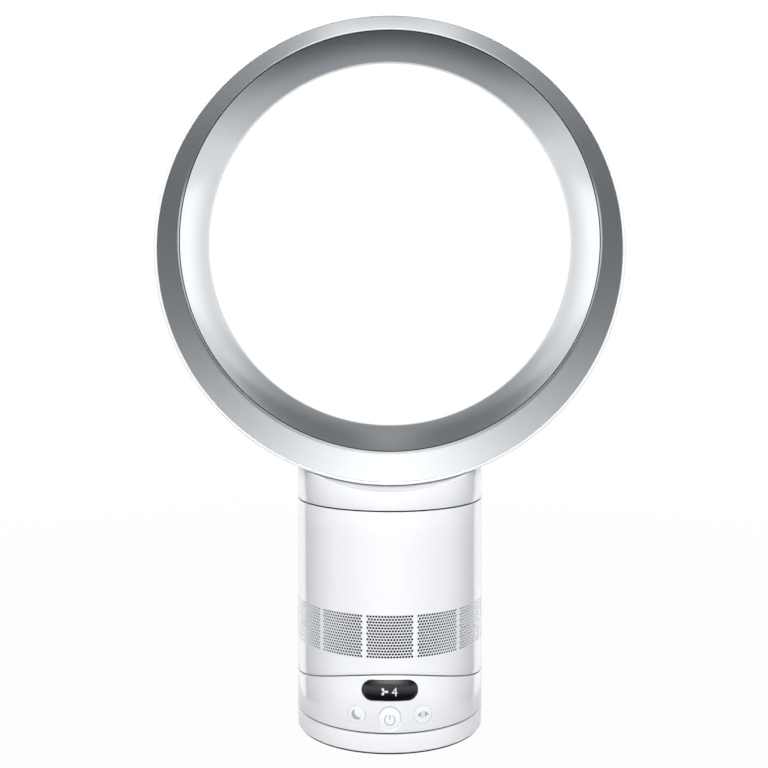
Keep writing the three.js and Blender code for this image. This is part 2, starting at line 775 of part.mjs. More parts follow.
// Closed skin through rings of four corners, each ring anticlockwise from above. Its two broad sides
// are split along the same diagonal, so a twisted blade keeps its thickness.
function skinned(rings) {
  const top = 4 * (rings.length - 1);
  const faces = [0, 2, 1, 0, 3, 2, top, top + 1, top + 2, top, top + 2, top + 3];
  for (let low = 0; low < top; low += 4) {
    const high = low + 4;
    faces.push(low, low + 1, high + 1, low, high + 1, high);
    faces.push(low + 1, low + 2, high + 2, low + 1, high + 2, high + 1);
    faces.push(low + 2, low + 3, high + 2, low + 3, high + 3, high + 2);
    faces.push(low + 3, low, high, low + 3, high, high + 3);
  }
  const geometry = new THREE.BufferGeometry();
  geometry.setAttribute('position', new THREE.Float32BufferAttribute(rings.flat(2), 3));
  geometry.setIndex(faces);
  return geometry;
}

// A blade reaches from inside the hub's cone to the housing and leans round as it climbs.
function impellerBlade(index) {
  const start = (index * 2 * Math.PI) / bladeCount;
  const rings = [];
  for (let step = 0; step <= bladeSteps; step += 1) {
    const share = step / bladeSteps;
    const z = THREE.MathUtils.lerp(impellerLow + runGap, impellerTop, share);
    const rootR = hubRadius(share) - bladeSink;
    const tipR = THREE.MathUtils.lerp(inletR, outletR, share);
    const at = (radius, side) => {
      const turn = start + bladeSweep * share + (side * bladeThick) / 2 / radius;
      return [radius * Math.cos(turn), radius * Math.sin(turn), z];
    };
    rings.push([at(rootR, -1), at(tipR, -1), at(tipR, 1), at(rootR, 1)]);
  }
  return skinned(rings);
}

function impeller() {
  const low = impellerLow + runGap;
  const boreR = shaftR + fitGap;
  const hub = turned([
    [boreR, low],
    [hubRadius(0), low],
    [hubRadius(1), impellerTop],
    [hubRadius(1) - 2 * hubWall, impellerTop],
    [bossR, low + 2 * hubWall],
    [bossR, impellerTop],
    [boreR, impellerTop],
  ], innerFacets);
  const blades = [];
  for (let i = 0; i < bladeCount; i += 1) blades.push(impellerBlade(i));
  return part('impeller', join(hub, ...blades), darkAbs);
}

function motorShaft() {
  const rotorLow = bucketFloor + statorRise + rotorInset;
  const rotorTop = bucketFloor + statorRise + statorHeight - rotorInset;
  const tip = coverLow + bearingThick + fitGap;
  return part('motor_shaft', turned([
    [0, impellerLow + 2 * runGap],
    [shaftR, impellerLow + 2 * runGap],
    [shaftR, rotorLow],
    [rotorR, rotorLow],
    [rotorR, rotorTop],
    [shaftR, rotorTop],
    [shaftR, tip],
    [0, tip],
  ], innerFacets), steel);
}

function bearing(name, low) {
  return part(name, tube(shaftR + fitGap, bearingR, low, low + bearingThick, innerFacets), steel);
}

function motorBucket() {
  const pocketR = bearingR + fitGap;
  const pocketTop = bucketFloor + bearingThick + fitGap;
  return part('motor_bucket', turned([
    [shaftR + runGap, bucketLow],
    [hubOutletR, bucketLow],
    [hubOutletR, bucketTop],
    [hubOutletR - bucketWall, bucketTop],
    [hubOutletR - bucketWall, bucketFloor],
    [pocketR + bearingWall, bucketFloor],
    [pocketR + bearingWall, pocketTop],
    [pocketR, pocketTop],
    [pocketR, bucketFloor],
    [shaftR + runGap, bucketFloor],
  ], innerFacets), innerAbs);
}

const statorSeatR = hubOutletR - bucketWall - fitGap;

function driverBoard() {
  const low = bucketFloor + fitGap;
  const disc = tube(driverBoardInnerR, statorSeatR, low, low + boardThick, innerFacets);
  return part('driver_board', disc, board);
}

function motorStator() {
  const low = bucketFloor + statorRise;
  const ring = tube(statorInnerR, statorSeatR, low, low + statorHeight, innerFacets);
  return part('motor_stator', ring, copper);
}

// The bucket's lid, whose guide vanes reach the housing and carry the motor.
function motorCover() {
  const pocketR = bearingR + fitGap;
  const pocketTop = coverLow + bearingThick + 2 * fitGap;
  const rimTop = coverLow + coverRimThick;
  const coneTop = rimTop + coverRise;
  const bossTopR = pocketR + bearingWall;
  const lid = turned([
    [0, coneTop],
    [bossTopR, coneTop],
    [hubOutletR, rimTop],
    [hubOutletR, coverLow],
    [hubOutletR - bucketWall, coverLow],
    [bossTopR, coneTop - coverRimThick],
    [bossTopR, coverLow],
    [pocketR, coverLow],
    [pocketR, pocketTop],
    [0, pocketTop],
  ], innerFacets);
  const vaneTip = outletR + runGap - fitGap;
  const vaneTop = Math.min(coverLow + vaneHeight, housingTop - fitGap);
  const vanes = [];
  for (let i = 0; i < vaneCount; i += 1) {
    const vane = block(
      [hubOutletR - bucketWall, vaneTip], [-vaneThick / 2, vaneThick / 2], [coverLow, vaneTop]);
    vanes.push(vane.rotateZ((i * 2 * Math.PI) / vaneCount));
  }
  return part('motor_cover', join(lid, ...vanes), innerAbs);
}

// A wedge about the Z axis, from one angle to another, both in degrees.
function sector(innerR, outerR, fromAngle, toAngle, low, high) {
  const from = THREE.MathUtils.degToRad(fromAngle);
  const to = THREE.MathUtils.degToRad(toAngle);
  const outline = new THREE.Shape();
  outline.absarc(0, 0, outerR, from, to, false);
  outline.absarc(0, 0, innerR, to, from, true);
  return new THREE.ExtrudeGeometry(outline, {
    depth: high - low,
    bevelEnabled: false,
    curveSegments: 4,
  }).translate(0, 0, low);
}

// The lock ring: the neck's lugs drop through its notches and turn under its rim.
function bayonetRing() {
  const ring = tube(spigotR + seam, insideR, bayonetLow, bayonetTop, columnFacets);
  const half = lugHalfAngle + notchEase;
  const notches = [];
  for (let i = 0; i < lugCount; i += 1) {
    const middle = (i * 360) / lugCount - 90 + twistAngle;
    notches.push(sector(spigotR - cutPast, lugOuterR + seam, middle - half, middle + half,
      bayonetLow - cutPast, bayonetTop + cutPast));
  }
  return part('bayonet_ring', cut(ring, ...notches), innerAbs);
}

function neckGasket() {
  const low = bayonetTop + fitGap;
  const ring = tube(lugOuterR + seam, gasketOuterR, low, low + gasketThick, innerFacets);
  return part('neck_gasket', ring, rubber);
}

function bodyGroup() {
  const group = new THREE.Group();
  group.position.z = bodyLow;
  group.add(bodyCasing(), bodyFloor(), floorFoam());
  group.add(tiltRail('tilt_rail_left', -railX), tiltRail('tilt_rail_right', railX));
  group.add(housingSeal(), impellerHousing(), inletBellmouth());
  for (let i = 0; i < mountCount; i += 1) group.add(housingMount(i));
  group.add(motorBucket(), motorStator(), driverBoard(), motorCover());
  group.add(bearing('bearing_lower', bucketFloor + fitGap), bearing('bearing_upper', coverLow));
  group.add(bayonetRing(), neckGasket());
  group.add(impeller(), motorShaft());
  return group;
}

// ================================================================ loop, from the neck's lower edge up
const saddleR = loopOuterR + loopGap;
const saddleAxisZ = neckRise + saddleR;

// A drum along Y, for the saddle that follows the loop's outer circle.
function saddleDrum(radius) {
  return new THREE.CylinderGeometry(radius, radius, 2 * (columnR + cutPast), 2 * loopFacets)
    .rotateY(Math.PI / loopFacets)
    .translate(0, 0, saddleAxisZ);
}

function loopSurfaceZ(x, radius) {
  return saddleAxisZ - Math.sqrt(radius ** 2 - x ** 2);
}

function loopNeck() {
  const tall = saddleAxisZ / 2;
  const column = rod(columnR, 0, tall, columnFacets);
  const cavity = cut(rod(shellInnerR, neckFloorThick, tall, columnFacets), saddleDrum(saddleR + shellWall));
  const duct = block([-ductHalfX, ductHalfX], [ductFront, ductRear], [neckFloorThick, tall]);
  const floorHole = rod(spigotR - spigotWall, -cutPast, neckFloorThick + cutPast, columnFacets);
  const screwHoles = [-loopScrewX, loopScrewX].map((x) =>
    rod(screwShankR + fitGap, neckFloorThick, tall).translate(x, loopScrewY, 0));
  const shell = cut(column, saddleDrum(saddleR), cavity, duct, floorHole, ...screwHoles);
  const spigot = tube(spigotR - spigotWall, spigotR, -spigotDrop, neckFloorThick, columnFacets);
  const lugTop = bayonetLow - lugPlay - bodyHeight - seam;
  const lugs = [];
  for (let i = 0; i < lugCount; i += 1) {
    const middle = (i * 360) / lugCount - 90;
    lugs.push(sector(spigotR - weld, lugOuterR, middle - lugHalfAngle, middle + lugHalfAngle,
      lugTop - lugThick, lugTop));
  }
  return part('loop_neck', join(shell, spigot, ...lugs), whiteAbs);
}

function loopScrew(name, x) {
  const headTop = loopSurfaceZ(Math.abs(x) - screwHeadR, saddleR + shellWall) - fitGap;
  const screw = turned([
    [0, headTop - screwHeadThick],
    [screwHeadR, headTop - screwHeadThick],
    [screwHeadR, headTop],
    [screwShankR, headTop],
    [screwShankR, headTop + loopScrewLength],
    [0, headTop + loopScrewLength],
  ], smallFacets).translate(x, loopScrewY, 0);
  return part(name, screw, steel);
}

// Turns a profile of [radius, depth] pairs about the loop's inner centre. Radii up to fixedR stay
// round about that centre, and radii from fullR on follow the lower outer circle.
function loopTurned(profile, fixedR, fullR) {
  const geometry = new THREE.LatheGeometry(closedOutline(profile), loopFacets);
  const corner = geometry.getAttribute('position');
  for (let i = 0; i < corner.count; i += 1) {
    const radius = Math.hypot(corner.getX(i), corner.getZ(i));
    const across = corner.getX(i) / radius;
    const up = corner.getZ(i) / radius;
    const outer = Math.sqrt(loopOuterR ** 2 - (loopOffset * across) ** 2) - loopOffset * up;
    const share = THREE.MathUtils.clamp((radius - fixedR) / (fullR - fixedR), 0, 1);
    const moved = radius + share * (outer - loopOuterR);
    corner.setX(i, across * moved);
    corner.setZ(i, up * moved);
  }
  return geometry;
}

// Radius of the nose and the diffuser at a depth y.
const diffuserStartY = throatY - noseR * Math.sin(diffuserAngle);
const diffuserStartR = throatR + noseR * (1 - Math.cos(diffuserAngle));
const diffuserFrontR = diffuserStartR + (diffuserStartY - diffuserFront) * Math.tan(diffuserAngle);
const lipOuterR = lipR + lipThick;
const lipTipY = throatY + Math.sqrt(noseR ** 2 - (throatR + noseR - lipOuterR - slotWidth) ** 2);
const lipRearY = lipTipY + lipLength;
const bezelOuterR = loopOuterR - loopWall - fitGap;
const bezelInnerR = diffuserFrontR + grooveR;

// Points of a quarter ellipse, from one angle to another in quarter turns.
function ellipseArc(centreR, centreY, reachR, reachY, fromQuarter, toQuarter) {
  const points = [];
  for (let i = 0; i <= curveSteps; i += 1) {
    const turn = (Math.PI / 2) * THREE.MathUtils.lerp(fromQuarter, toQuarter, i / curveSteps);
    points.push([centreR + reachR * Math.cos(turn), centreY + reachY * Math.sin(turn)]);
  }
  return points;
}

// The white shell: rim, outer wall, rounded rear and the lip inside the slot.
function loopOuterShell() {
  const innerR = loopOuterR - loopWall;
  const ribR = innerR - ledgeReach;
  const profile = [
    [innerR, loopFront],
    [loopOuterR - rimRound, loopFront],
    [loopOuterR - rimRound * 0.3, loopFront + rimRound * 0.3],
    [loopOuterR, loopFront + rimRound],
    ...ellipseArc(rearApexR, rearStart, loopOuterR - rearApexR, loopRear - rearStart, 0, 1),
    ...ellipseArc(rearApexR, lipRearY, rearApexR - lipR, loopRear - lipRearY, 1, 2).slice(1),
    [lipR, lipTipY],
    [lipOuterR, lipTipY],
    ...ellipseArc(rearApexR, lipRearY, rearApexR - lipOuterR, loopRear - loopWall - lipRearY, 2, 1),
    ...ellipseArc(rearApexR, rearStart, innerR - rearApexR, loopRear - loopWall - rearStart, 1, 0).slice(1),
    [innerR, ledgeRear],
    [ribR, ledgeRear],
    [ribR, ledgeFront],
    [innerR, ledgeFront],
  ];
  const shell = loopTurned(profile, rearApexR, innerR - ledgeReach - 1);
  const spacers = [];
  for (let i = 0; i < spacerCount; i += 1) {
    const spacer = block(
      [-spacerWidth / 2, spacerWidth / 2],
      [lipTipY + fitGap, lipTipY + fitGap + spacerLength],
      [lipOuterR - lipThick / 2, lipOuterR + slotWidth - fitGap]);
    spacers.push(spacer.rotateY((i * 2 * Math.PI) / spacerCount));
  }
  const toLoop = -loopCentreRise;
  const bosses = [];
  const pilots = [];
  [-loopScrewX, loopScrewX].forEach((x) => {
    const wallTop = loopSurfaceZ(Math.abs(x) + loopBossR, loopOuterR) + fitGap;
    bosses.push(rod(loopBossR, wallTop, wallTop + loopScrewLength - fitGap)
      .translate(x, loopScrewY, toLoop));
    pilots.push(rod(screwShankR + fitGap, neckRise, wallTop + loopScrewLength - 2)
      .translate(x, loopScrewY, toLoop));
  });
  const duct = block([-ductHalfX, ductHalfX], [ductFront, ductRear], [0, 2 * neckRise])
    .translate(0, 0, toLoop);
  return part('loop_outer_shell', cut(join(shell, ...spacers, ...bosses), duct, ...pilots), whiteAbs);
}

// The silver diffuser: a cone that ends in the slot's rounded nose, with a flange at its front.
function loopInnerShell() {
  const profile = [[diffuserFrontR, diffuserFront]];
  const noseTurn = Math.asin(noseLength / noseR);
  for (let i = 0; i <= noseSteps; i += 1) {
    const turn = THREE.MathUtils.lerp(-diffuserAngle, noseTurn, i / noseSteps);
    profile.push([throatR + noseR * (1 - Math.cos(turn)), throatY + noseR * Math.sin(turn)]);
  }
  const innerNose = noseR - diffuserWall;
  for (let i = curveSteps; i >= 0; i -= 1) {
    const turn = THREE.MathUtils.lerp(-diffuserAngle, noseTurn, i / curveSteps);
    profile.push([throatR + noseR - innerNose * Math.cos(turn), throatY + innerNose * Math.sin(turn)]);
  }
  const wallR = diffuserFrontR + diffuserWall * Math.cos(diffuserAngle);
  const wallY = diffuserFront + diffuserWall * Math.sin(diffuserAngle);
  const flangeFront = ledgeRear + fitGap;
  const flangeR = loopOuterR - loopWall - ledgeReach;
  const slope = Math.tan(diffuserAngle);
  profile.push([wallR - (flangeFront + diffuserFlange - wallY) * slope, flangeFront + diffuserFlange]);
  profile.push([flangeR, flangeFront + diffuserFlange], [flangeR, flangeFront]);
  profile.push([wallR - (flangeFront - wallY) * slope, flangeFront], [wallR, wallY]);
  const flangeFixedR = wallR + 0.5;
  return part('loop_inner_shell', loopTurned(profile, flangeFixedR, flangeR), silverPaint);
}

// The silver bevel: a flat cone with a skirt that stands on the white shell's rib.
function loopFrontBezel() {
  const outerY = loopFront + bezelRecess;
  const innerY = diffuserFront - grooveY;
  const slope = (innerY - outerY) / (bezelOuterR - bezelInnerR);
  const skirtR = bezelOuterR - bezelSkirt;
  const skirtEnd = ledgeFront - fitGap;
  const footR = bezelInnerR + bezelThick;
  return part('loop_front_bezel', loopTurned([
    [bezelInnerR, innerY],
    [bezelOuterR, outerY],
    [bezelOuterR, skirtEnd],
    [skirtR, skirtEnd],
    [skirtR, outerY + bezelSkirt * slope + bezelThick],
    [footR, innerY - bezelThick * slope + bezelThick - fitGap],
  ], bezelInnerR, bezelOuterR), silverPaint);
}

function loopGroup() {
  const ring = new THREE.Group();
  ring.position.z = loopCentreRise;
  ring.add(loopOuterShell(), loopInnerShell(), loopFrontBezel());
  const group = new THREE.Group();
  group.position.z = neckLow;
  group.add(ring, loopNeck());
  group.add(loopScrew('loop_screw_left', -loopScrewX), loopScrew('loop_screw_right', loopScrewX));
  return group;
}

const fan = new THREE.Group();
fan.add(footGroup(), baseGroup(), bodyGroup(), loopGroup());

export default fan;
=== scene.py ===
"""Bladeless desk fan: the skins, prints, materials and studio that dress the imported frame.

The axes are the frame's: metres, +Z up, the front faces -Y, the origin on the floor.
"""

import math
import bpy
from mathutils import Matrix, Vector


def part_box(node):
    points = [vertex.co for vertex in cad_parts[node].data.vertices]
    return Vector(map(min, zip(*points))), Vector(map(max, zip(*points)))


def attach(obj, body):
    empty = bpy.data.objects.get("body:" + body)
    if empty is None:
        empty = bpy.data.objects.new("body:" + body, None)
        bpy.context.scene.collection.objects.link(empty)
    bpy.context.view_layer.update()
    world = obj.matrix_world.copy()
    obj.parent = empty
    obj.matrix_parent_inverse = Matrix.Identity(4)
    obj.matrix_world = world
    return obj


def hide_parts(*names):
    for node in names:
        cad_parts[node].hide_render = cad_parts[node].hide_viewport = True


bl_info = {
    "name": "Bladeless Desk Fan",
    "version": (1, 0, 0),
    "blender": (4, 5, 0),
    "location": "View3D > Sidebar > Desk Fan",
    "description": "Builds the visible skins, materials and studio of a bladeless desk fan",
    "category": "Add Mesh",
}

import bmesh
import bpy
from mathutils import Matrix, Vector

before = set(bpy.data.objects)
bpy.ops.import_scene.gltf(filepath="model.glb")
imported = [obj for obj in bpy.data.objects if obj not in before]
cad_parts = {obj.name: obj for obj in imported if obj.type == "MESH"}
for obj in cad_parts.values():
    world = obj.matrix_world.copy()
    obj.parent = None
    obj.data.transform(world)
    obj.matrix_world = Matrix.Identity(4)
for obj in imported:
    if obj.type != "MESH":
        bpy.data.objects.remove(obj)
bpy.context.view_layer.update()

MM = 0.001
WHITE = (1, 1, 1, 1)
COOL_WHITE = (0.96, 1, 1.03, 1)
QUARTER_TURN = math.pi / 2
FACING_FRONT = (QUARTER_TURN, 0, 0)
LOOP_SIDES = 256
COLUMN_SIDES = 192
SHELL_SIDES = 360
CUT_REACH = 5 * MM
CUT_DEPTH = -40 * MM
SIGN_STRIP = 0.8 * MM
BAR_SIDES = 64
PILL_SIDES = 96
SLACK = 0.01 * MM


# ---------------------------------------------------------------- values a user would change
def linear(code):
    """The linear colour of an sRGB hex value."""
    channels = [int(code[i : i + 2], 16) / 255 for i in (1, 3, 5)]
    return [c / 12.92 if c <= 0.04045 else ((c + 0.055) / 1.055) ** 2.4 for c in channels]


def length(name, description, mm):
    return bpy.props.FloatProperty(
        name=name,
        description=description,
        default=mm * MM,
        unit="LENGTH",
        subtype="DISTANCE",
        precision=5,
    )


def angle(name, description, degrees):
    return bpy.props.FloatProperty(
        name=name,
        description=description,
        default=math.radians(degrees),
        unit="ROTATION",
        subtype="ANGLE",
    )


def colour(name, description, code):
    return bpy.props.FloatVectorProperty(
        name=name,
        description=description,
        default=linear(code),
        size=3,
        min=0,
        max=1,
        subtype="COLOR",
    )


class FanColumnSizes(bpy.types.PropertyGroup):
    """Foot, base, body and neck."""

    radius: length("Radius", "Outer radius of foot, base, body and neck", 73)
    wall: length("Wall", "Wall of the column's shells", 2.2)
    edge: length("Edge", "Rounding along the seams", 0.5)
    foot_low: length("Foot edge", "The foot shell's lower edge above the floor", 1.3)
    foot_top: length("Foot top", "Top of the foot shell", 15.1)
    foot_round: length("Foot round", "Rounding at the floor", 1.2)
    base_low: length("Base edge", "Lower edge of the base shell", 16.3)
    tilt_height: length("Tilt axis", "Height of the axis that the body tilts about", 224.3)
    cradle_radius: length("Cradle arc", "Radius of the base's upper edge", 180.5)
    body_radius: length("Body arc", "Radius of the body's lower edge", 179.7)
    body_top: length("Body top", "Upper edge of the perforated casing", 179.4)
    band_low: length("Band edge", "Lower edge of the perforated band", 71.3)
    band_height: length("Band height", "Height of the perforated band", 32)
    band_rib: length("Band rib", "Plain strip between two perforated panels", 2.7)
    hole_radius: length("Hole", "Radius of one perforation", 0.97)
    band_wall: length("Band wall", "Wall of the perforated band", 0.6)
    neck_low: length("Neck edge", "Lower edge of the neck", 180.4)
    panels: bpy.props.IntProperty(
        name="Panels", description="Perforated panels round the column", default=12, min=1
    )
    hole_columns: bpy.props.IntProperty(
        name="Columns", description="Holes in the longer rows of a panel", default=16, min=2
    )
    hole_rows: bpy.props.IntProperty(
        name="Rows", description="Rows of holes, an odd number", default=15, min=3
    )


class FanLoopSizes(bpy.types.PropertyGroup):
    """The air loop."""

    outer_radius: length("Outer radius", "Outer circle of the white shell", 178.5)
    inner_height: length("Hole height", "Height of the hole's centre", 381)
    drop: length("Drop", "The outer circle's centre below the hole's", 7.5)
    wall: length("Wall", "Wall of the white shell and width of its rim", 2.3)
    front: length("Front", "Depth of the rim's front", -46)
    rear: length("Rear", "Depth of the shell's rear", 42)
    rear_start: length("Rear start", "Depth where the shell starts to round in", 10)
    rear_radius: length("Rear circle", "Circle of the shell's rearmost points", 160)
    rim_round: length("Rim round", "Rounding of the rim's outer edge", 1.2)
    throat_radius: length("Throat", "Narrowest circle of the hole", 146.4)
    throat_depth: length("Throat depth", "Depth of the narrowest circle", 14)
    nose_radius: length("Nose", "Rounding of the slot's nose", 16)
    nose_length: length("Nose length", "How far the nose runs behind the throat", 13)
    diffuser_front: length("Diffuser front", "Depth of the diffuser's front edge", -36)
    diffuser_front_radius: length("Diffuser circle", "The diffuser's front circle", 160.45)
    front_drop: length("Front drop", "The diffuser's front circle's centre below the hole's", 0.6)
    diffuser_wall: length("Diffuser wall", "Wall of the diffuser", 2)
    diffuser_entry: angle("Diffuser entry", "Slope at the diffuser's front", 22)
    diffuser_exit: angle("Diffuser exit", "Slope where the nose starts", 12.5)
    lip_radius: length("Lip", "Inner circle of the shell's lip", 148.3)
    lip_tip: length("Lip tip", "Depth of the lip's front edge", 25)
    lip_wall: length("Lip wall", "Wall of the lip", 1.2)
    lip_length: length("Lip length", "Straight part of the lip", 3)
    bezel_inner: length("Bevel inner", "Inner circle of the silver bevel", 161.15)
    bezel_outer: length("Bevel outer", "Outer circle of the silver bevel", 176.1)
    bezel_inner_depth: length("Bevel inner depth", "Depth of the bevel's inner edge", -36.4)
    bezel_outer_depth: length("Bevel outer depth", "Depth of the bevel's outer edge", -45.4)
    bezel_wall: length("Bevel wall", "Wall of the silver bevel", 2.1)
    saddle_radius: length("Saddle", "Radius of the neck's saddle", 179.4)


class FanFrontSizes(bpy.types.PropertyGroup):
    """Display, buttons and inlet."""

    window_width: length("Window width", "Width of the display window", 41.3)
    window_height: length("Window height", "Height of the display window", 15.3)
    window_rise: length("Window rise", "Height of the window's centre", 47.7)
    window_gap: length("Window gap", "Gap round the display window", 0.3)
    power_radius: length("Power button", "Radius of the power button", 7.9)
    power_rise: length("Power rise", "Height of the power button", 27.1)
    side_radius: length("Side buttons", "Radius of the timer and swing buttons", 6.6)
    side_rise: length("Side rise", "Height of the timer and swing buttons", 28.8)
    side_offset: length("Side offset", "Distance of the side buttons from the middle", 24.6)
    button_gap: length("Button gap", "Gap round each button", 0.2)
    button_round: length("Button edge", "Rounding of a button's edge", 0.3)
    power_round: length("Power edge", "Rounding of the power button's edge", 1.1)
    power_flare: length("Power flare", "Countersink round the power button", 1.3)
    power_tilt: angle("Power tilt", "How far the power button leans back at its top", 5)
    window_dome: length("Window dome", "How far the window stands out in its middle", 1.4)
    print_lift: length("Print", "Thickness of a printed sign", 0.05)
    icon_height: length("Sign height", "Height of the signs in the window", 6.6)
    inlet_rise: length("Inlet rise", "Height of the power inlet", 8.8)
    inlet_radius: length("Inlet", "Radius of the inlet's nose", 4.4)
    inlet_bore: length("Inlet bore", "Radius of the inlet's bore", 3.2)
    inlet_end: length("Inlet end", "Depth of the inlet's nose", 72.6)


class FanColours(bpy.types.PropertyGroup):
    """Colours of the finishes."""

    white: colour("White", "Shells of the column and loop", "#F1F2F5")
    button: colour("Buttons", "Button caps", "#F3F4F6")
    silver: colour("Silver", "Bevel and diffuser of the loop", "#D6D9DC")
    glass: colour("Window", "Display window", "#07080A")
    ink: colour("Ink", "Signs printed on the buttons", "#ABB0B4")
    light: colour("Lit signs", "Signs that shine through the window", "#F4F7FA")
    inner: colour("Inner parts", "Housing, bucket and ducts inside", "#7C8084")
    dark: colour("Dark parts", "Plate, impeller and inlet", "#232527")
    floor: colour("Floor", "Floor and backdrop", "#B6B8BA")


def sizes():
    scene = bpy.context.scene
    return scene.fan_column, scene.fan_loop, scene.fan_front


def tone(name):
    return (*getattr(bpy.context.scene.fan_colours, name), 1.0)


# ---------------------------------------------------------------- modelling
def fresh():
    """Leaves object mode with nothing selected, so the next operator acts on its own piece."""
    if bpy.context.object and bpy.context.object.mode != "OBJECT":
        bpy.ops.object.mode_set(mode="OBJECT")
    bpy.ops.object.select_all(action="DESELECT")


def take(piece):
    """Makes one piece the selected and active one."""
    fresh()
    piece.select_set(True)
    bpy.context.view_layer.objects.active = piece


def edit(piece):
    """Opens one piece in edit mode with all of it selected."""
    take(piece)
    bpy.ops.object.mode_set(mode="EDIT")
    bpy.ops.mesh.select_all(action="SELECT")


def leave():
    bpy.ops.object.mode_set(mode="OBJECT")


def extrude(step, factor, middle):
    """Extrudes the selected edges by a step and resizes them about a place."""
    bpy.ops.mesh.extrude_edges_move(TRANSFORM_OT_translate={"value": step})
    bpy.ops.transform.resize(value=factor, center_override=middle)


def named(name):
    """Names the new primitive and moves its place into its mesh."""
    piece = bpy.context.object
    piece.name = name
    piece.data.name = name
    bpy.ops.object.transform_apply(location=True, rotation=True, scale=True)
    return piece


def circle(name, sides, radius, place, turn=FACING_FRONT, fill="NOTHING", stretch=(1, 1)):
    """A new circle, which faces the front unless it is turned otherwise."""
    fresh()
    bpy.ops.mesh.primitive_circle_add(
        vertices=sides, radius=radius, fill_type=fill, location=place, rotation=turn
    )
    bpy.context.object.scale = (*stretch, 1)
    return named(name)


def pick(test):
    """Selects in edit mode the vertices whose place passes the test."""
    mesh = bmesh.from_edit_mesh(bpy.context.object.data)
    mesh.select_mode = {"VERT"}
    for vertex in mesh.verts:
        vertex.select = test(vertex)
    mesh.select_flush_mode()
    bmesh.update_edit_mesh(bpy.context.object.data)


def settle(shape):
    """Moves each selected vertex to the height that the shape gives at its place."""
    mesh = bmesh.from_edit_mesh(bpy.context.object.data)
    for vertex in mesh.verts:
        if vertex.select:
            vertex.co.z = shape(vertex.co)
    bmesh.update_edit_mesh(bpy.context.object.data)


def rings(name, stations, axis="Z", centre=(0, 0), count=COLUMN_SIDES, ends="bridge"):
    """A closed skin: a circle that is extruded and resized from station to station.

    A station is (radius, distance along the axis, drop of the centre), and the distance may be a
    function that gives each vertex its height. ends is bridge, or fill for two flat ends.
    """

    def place(station):
        along = 0 if callable(station[1]) else station[1]
        drop = station[2] if len(station) > 2 else 0
        if axis == "Z":
            return Vector((centre[0], centre[1], along))
        return Vector((centre[0], along, centre[1] - drop))

    turn = FACING_FRONT if axis == "Y" else (0, 0, 0)
    piece = circle(name, count, stations[0][0], place(stations[0]), turn)
    edit(piece)
    if callable(stations[0][1]):
        settle(stations[0][1])
    for before, after in zip(stations, stations[1:]):
        grow = after[0] / before[0]
        factor = (grow, grow, 1) if axis == "Z" else (grow, 1, grow)
        extrude(place(after) - place(before), factor, place(after))
        if callable(after[1]):
            settle(after[1])
        elif callable(before[1]):
            settle(lambda co, height=after[1]: height)
    last = count * (len(stations) - 1)
    if ends == "bridge":
        pick(lambda v: v.index < count or v.index >= last)
        bpy.ops.mesh.bridge_edge_loops()
    else:
        for first in (0, last):
            pick(lambda v, low=first: low <= v.index < low + count)
            bpy.ops.mesh.edge_face_add()
    bpy.ops.mesh.select_all(action="SELECT")
    bpy.ops.mesh.remove_doubles(threshold=0.2 * SLACK)
    bpy.ops.mesh.select_all(action="SELECT")
    bpy.ops.mesh.normals_make_consistent(inside=False)
    leave()
    return piece


def apply_modifier(piece, kind, **settings):
    """Adds a modifier with its settings and applies it."""
    take(piece)
    modifier = piece.modifiers.new(kind.lower(), kind)
    for key, value in settings.items():
        setattr(modifier, key, value)
    bpy.ops.object.modifier_apply(modifier=modifier.name)


def carve(piece, tool, operation="DIFFERENCE"):
    """Cuts the tool out of the piece, or keeps what both share, and removes the tool."""
    apply_modifier(piece, "BOOLEAN", operation=operation, solver="EXACT", object=tool)
    bpy.data.objects.remove(tool)


def soften(piece, width, segments=2, limit=40):
    """Rounds the sharp edges."""
    apply_modifier(
        piece,
        "BEVEL",
        width=width,
        segments=segments,
        limit_method="ANGLE",
        angle_limit=math.radians(limit),
        use_clamp_overlap=True,
        miter_outer="MITER_ARC",
    )


def merged(pieces, name):
    """Joins pieces into the first of them."""
    fresh()
    for piece in pieces:
        piece.select_set(True)
    bpy.context.view_layer.objects.active = pieces[0]
    bpy.ops.object.join()
    pieces[0].name = name
    pieces[0].data.name = name
    return pieces[0]


def copy_turned(piece, matrix, name):
    """A copy with its own mesh, moved by the matrix."""
    twin = bpy.data.objects.new(name, piece.data.copy())
    bpy.context.scene.collection.objects.link(twin)
    twin.data.transform(matrix)
    return twin


def finish(piece, body, material, replaces=(), smooth=35):
    """Shades a piece, gives it its material and lets it ride with its body."""
    take(piece)
    bpy.ops.object.shade_smooth_by_angle(angle=math.radians(smooth))
    piece.data.materials.clear()
    piece.data.materials.append(material)
    if replaces:
        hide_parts(*replaces)
    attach(piece, body)
    return piece


def quarter(centre, reach, start, end, steps=14):
    """Points of a quarter ellipse, from one share of the quarter turn to another."""
    points = []
    for i in range(steps + 1):
        turn = QUARTER_TURN * (start + (end - start) * i / steps)
        points.append(
            (centre[0] + reach[0] * math.cos(turn), centre[1] + reach[1] * math.sin(turn))
        )
    return points


def arc_height(radius):
    """Height of the arc about the tilt axis, at a place on the column."""
    axis = bpy.context.scene.fan_column.tilt_height
    return lambda co: axis - math.sqrt(radius**2 - co.y**2)


def saddle_height(radius):
    """Height of the saddle below the loop, at a place on the column."""
    loop = bpy.context.scene.fan_loop
    centre = loop.inner_height - loop.drop
    return lambda co: centre - math.sqrt(radius**2 - co.x**2)


def lifted(height, rise):
    """A height, or a function that gives one, raised by a distance."""
    return (lambda co: height(co) + rise) if callable(height) else height + rise


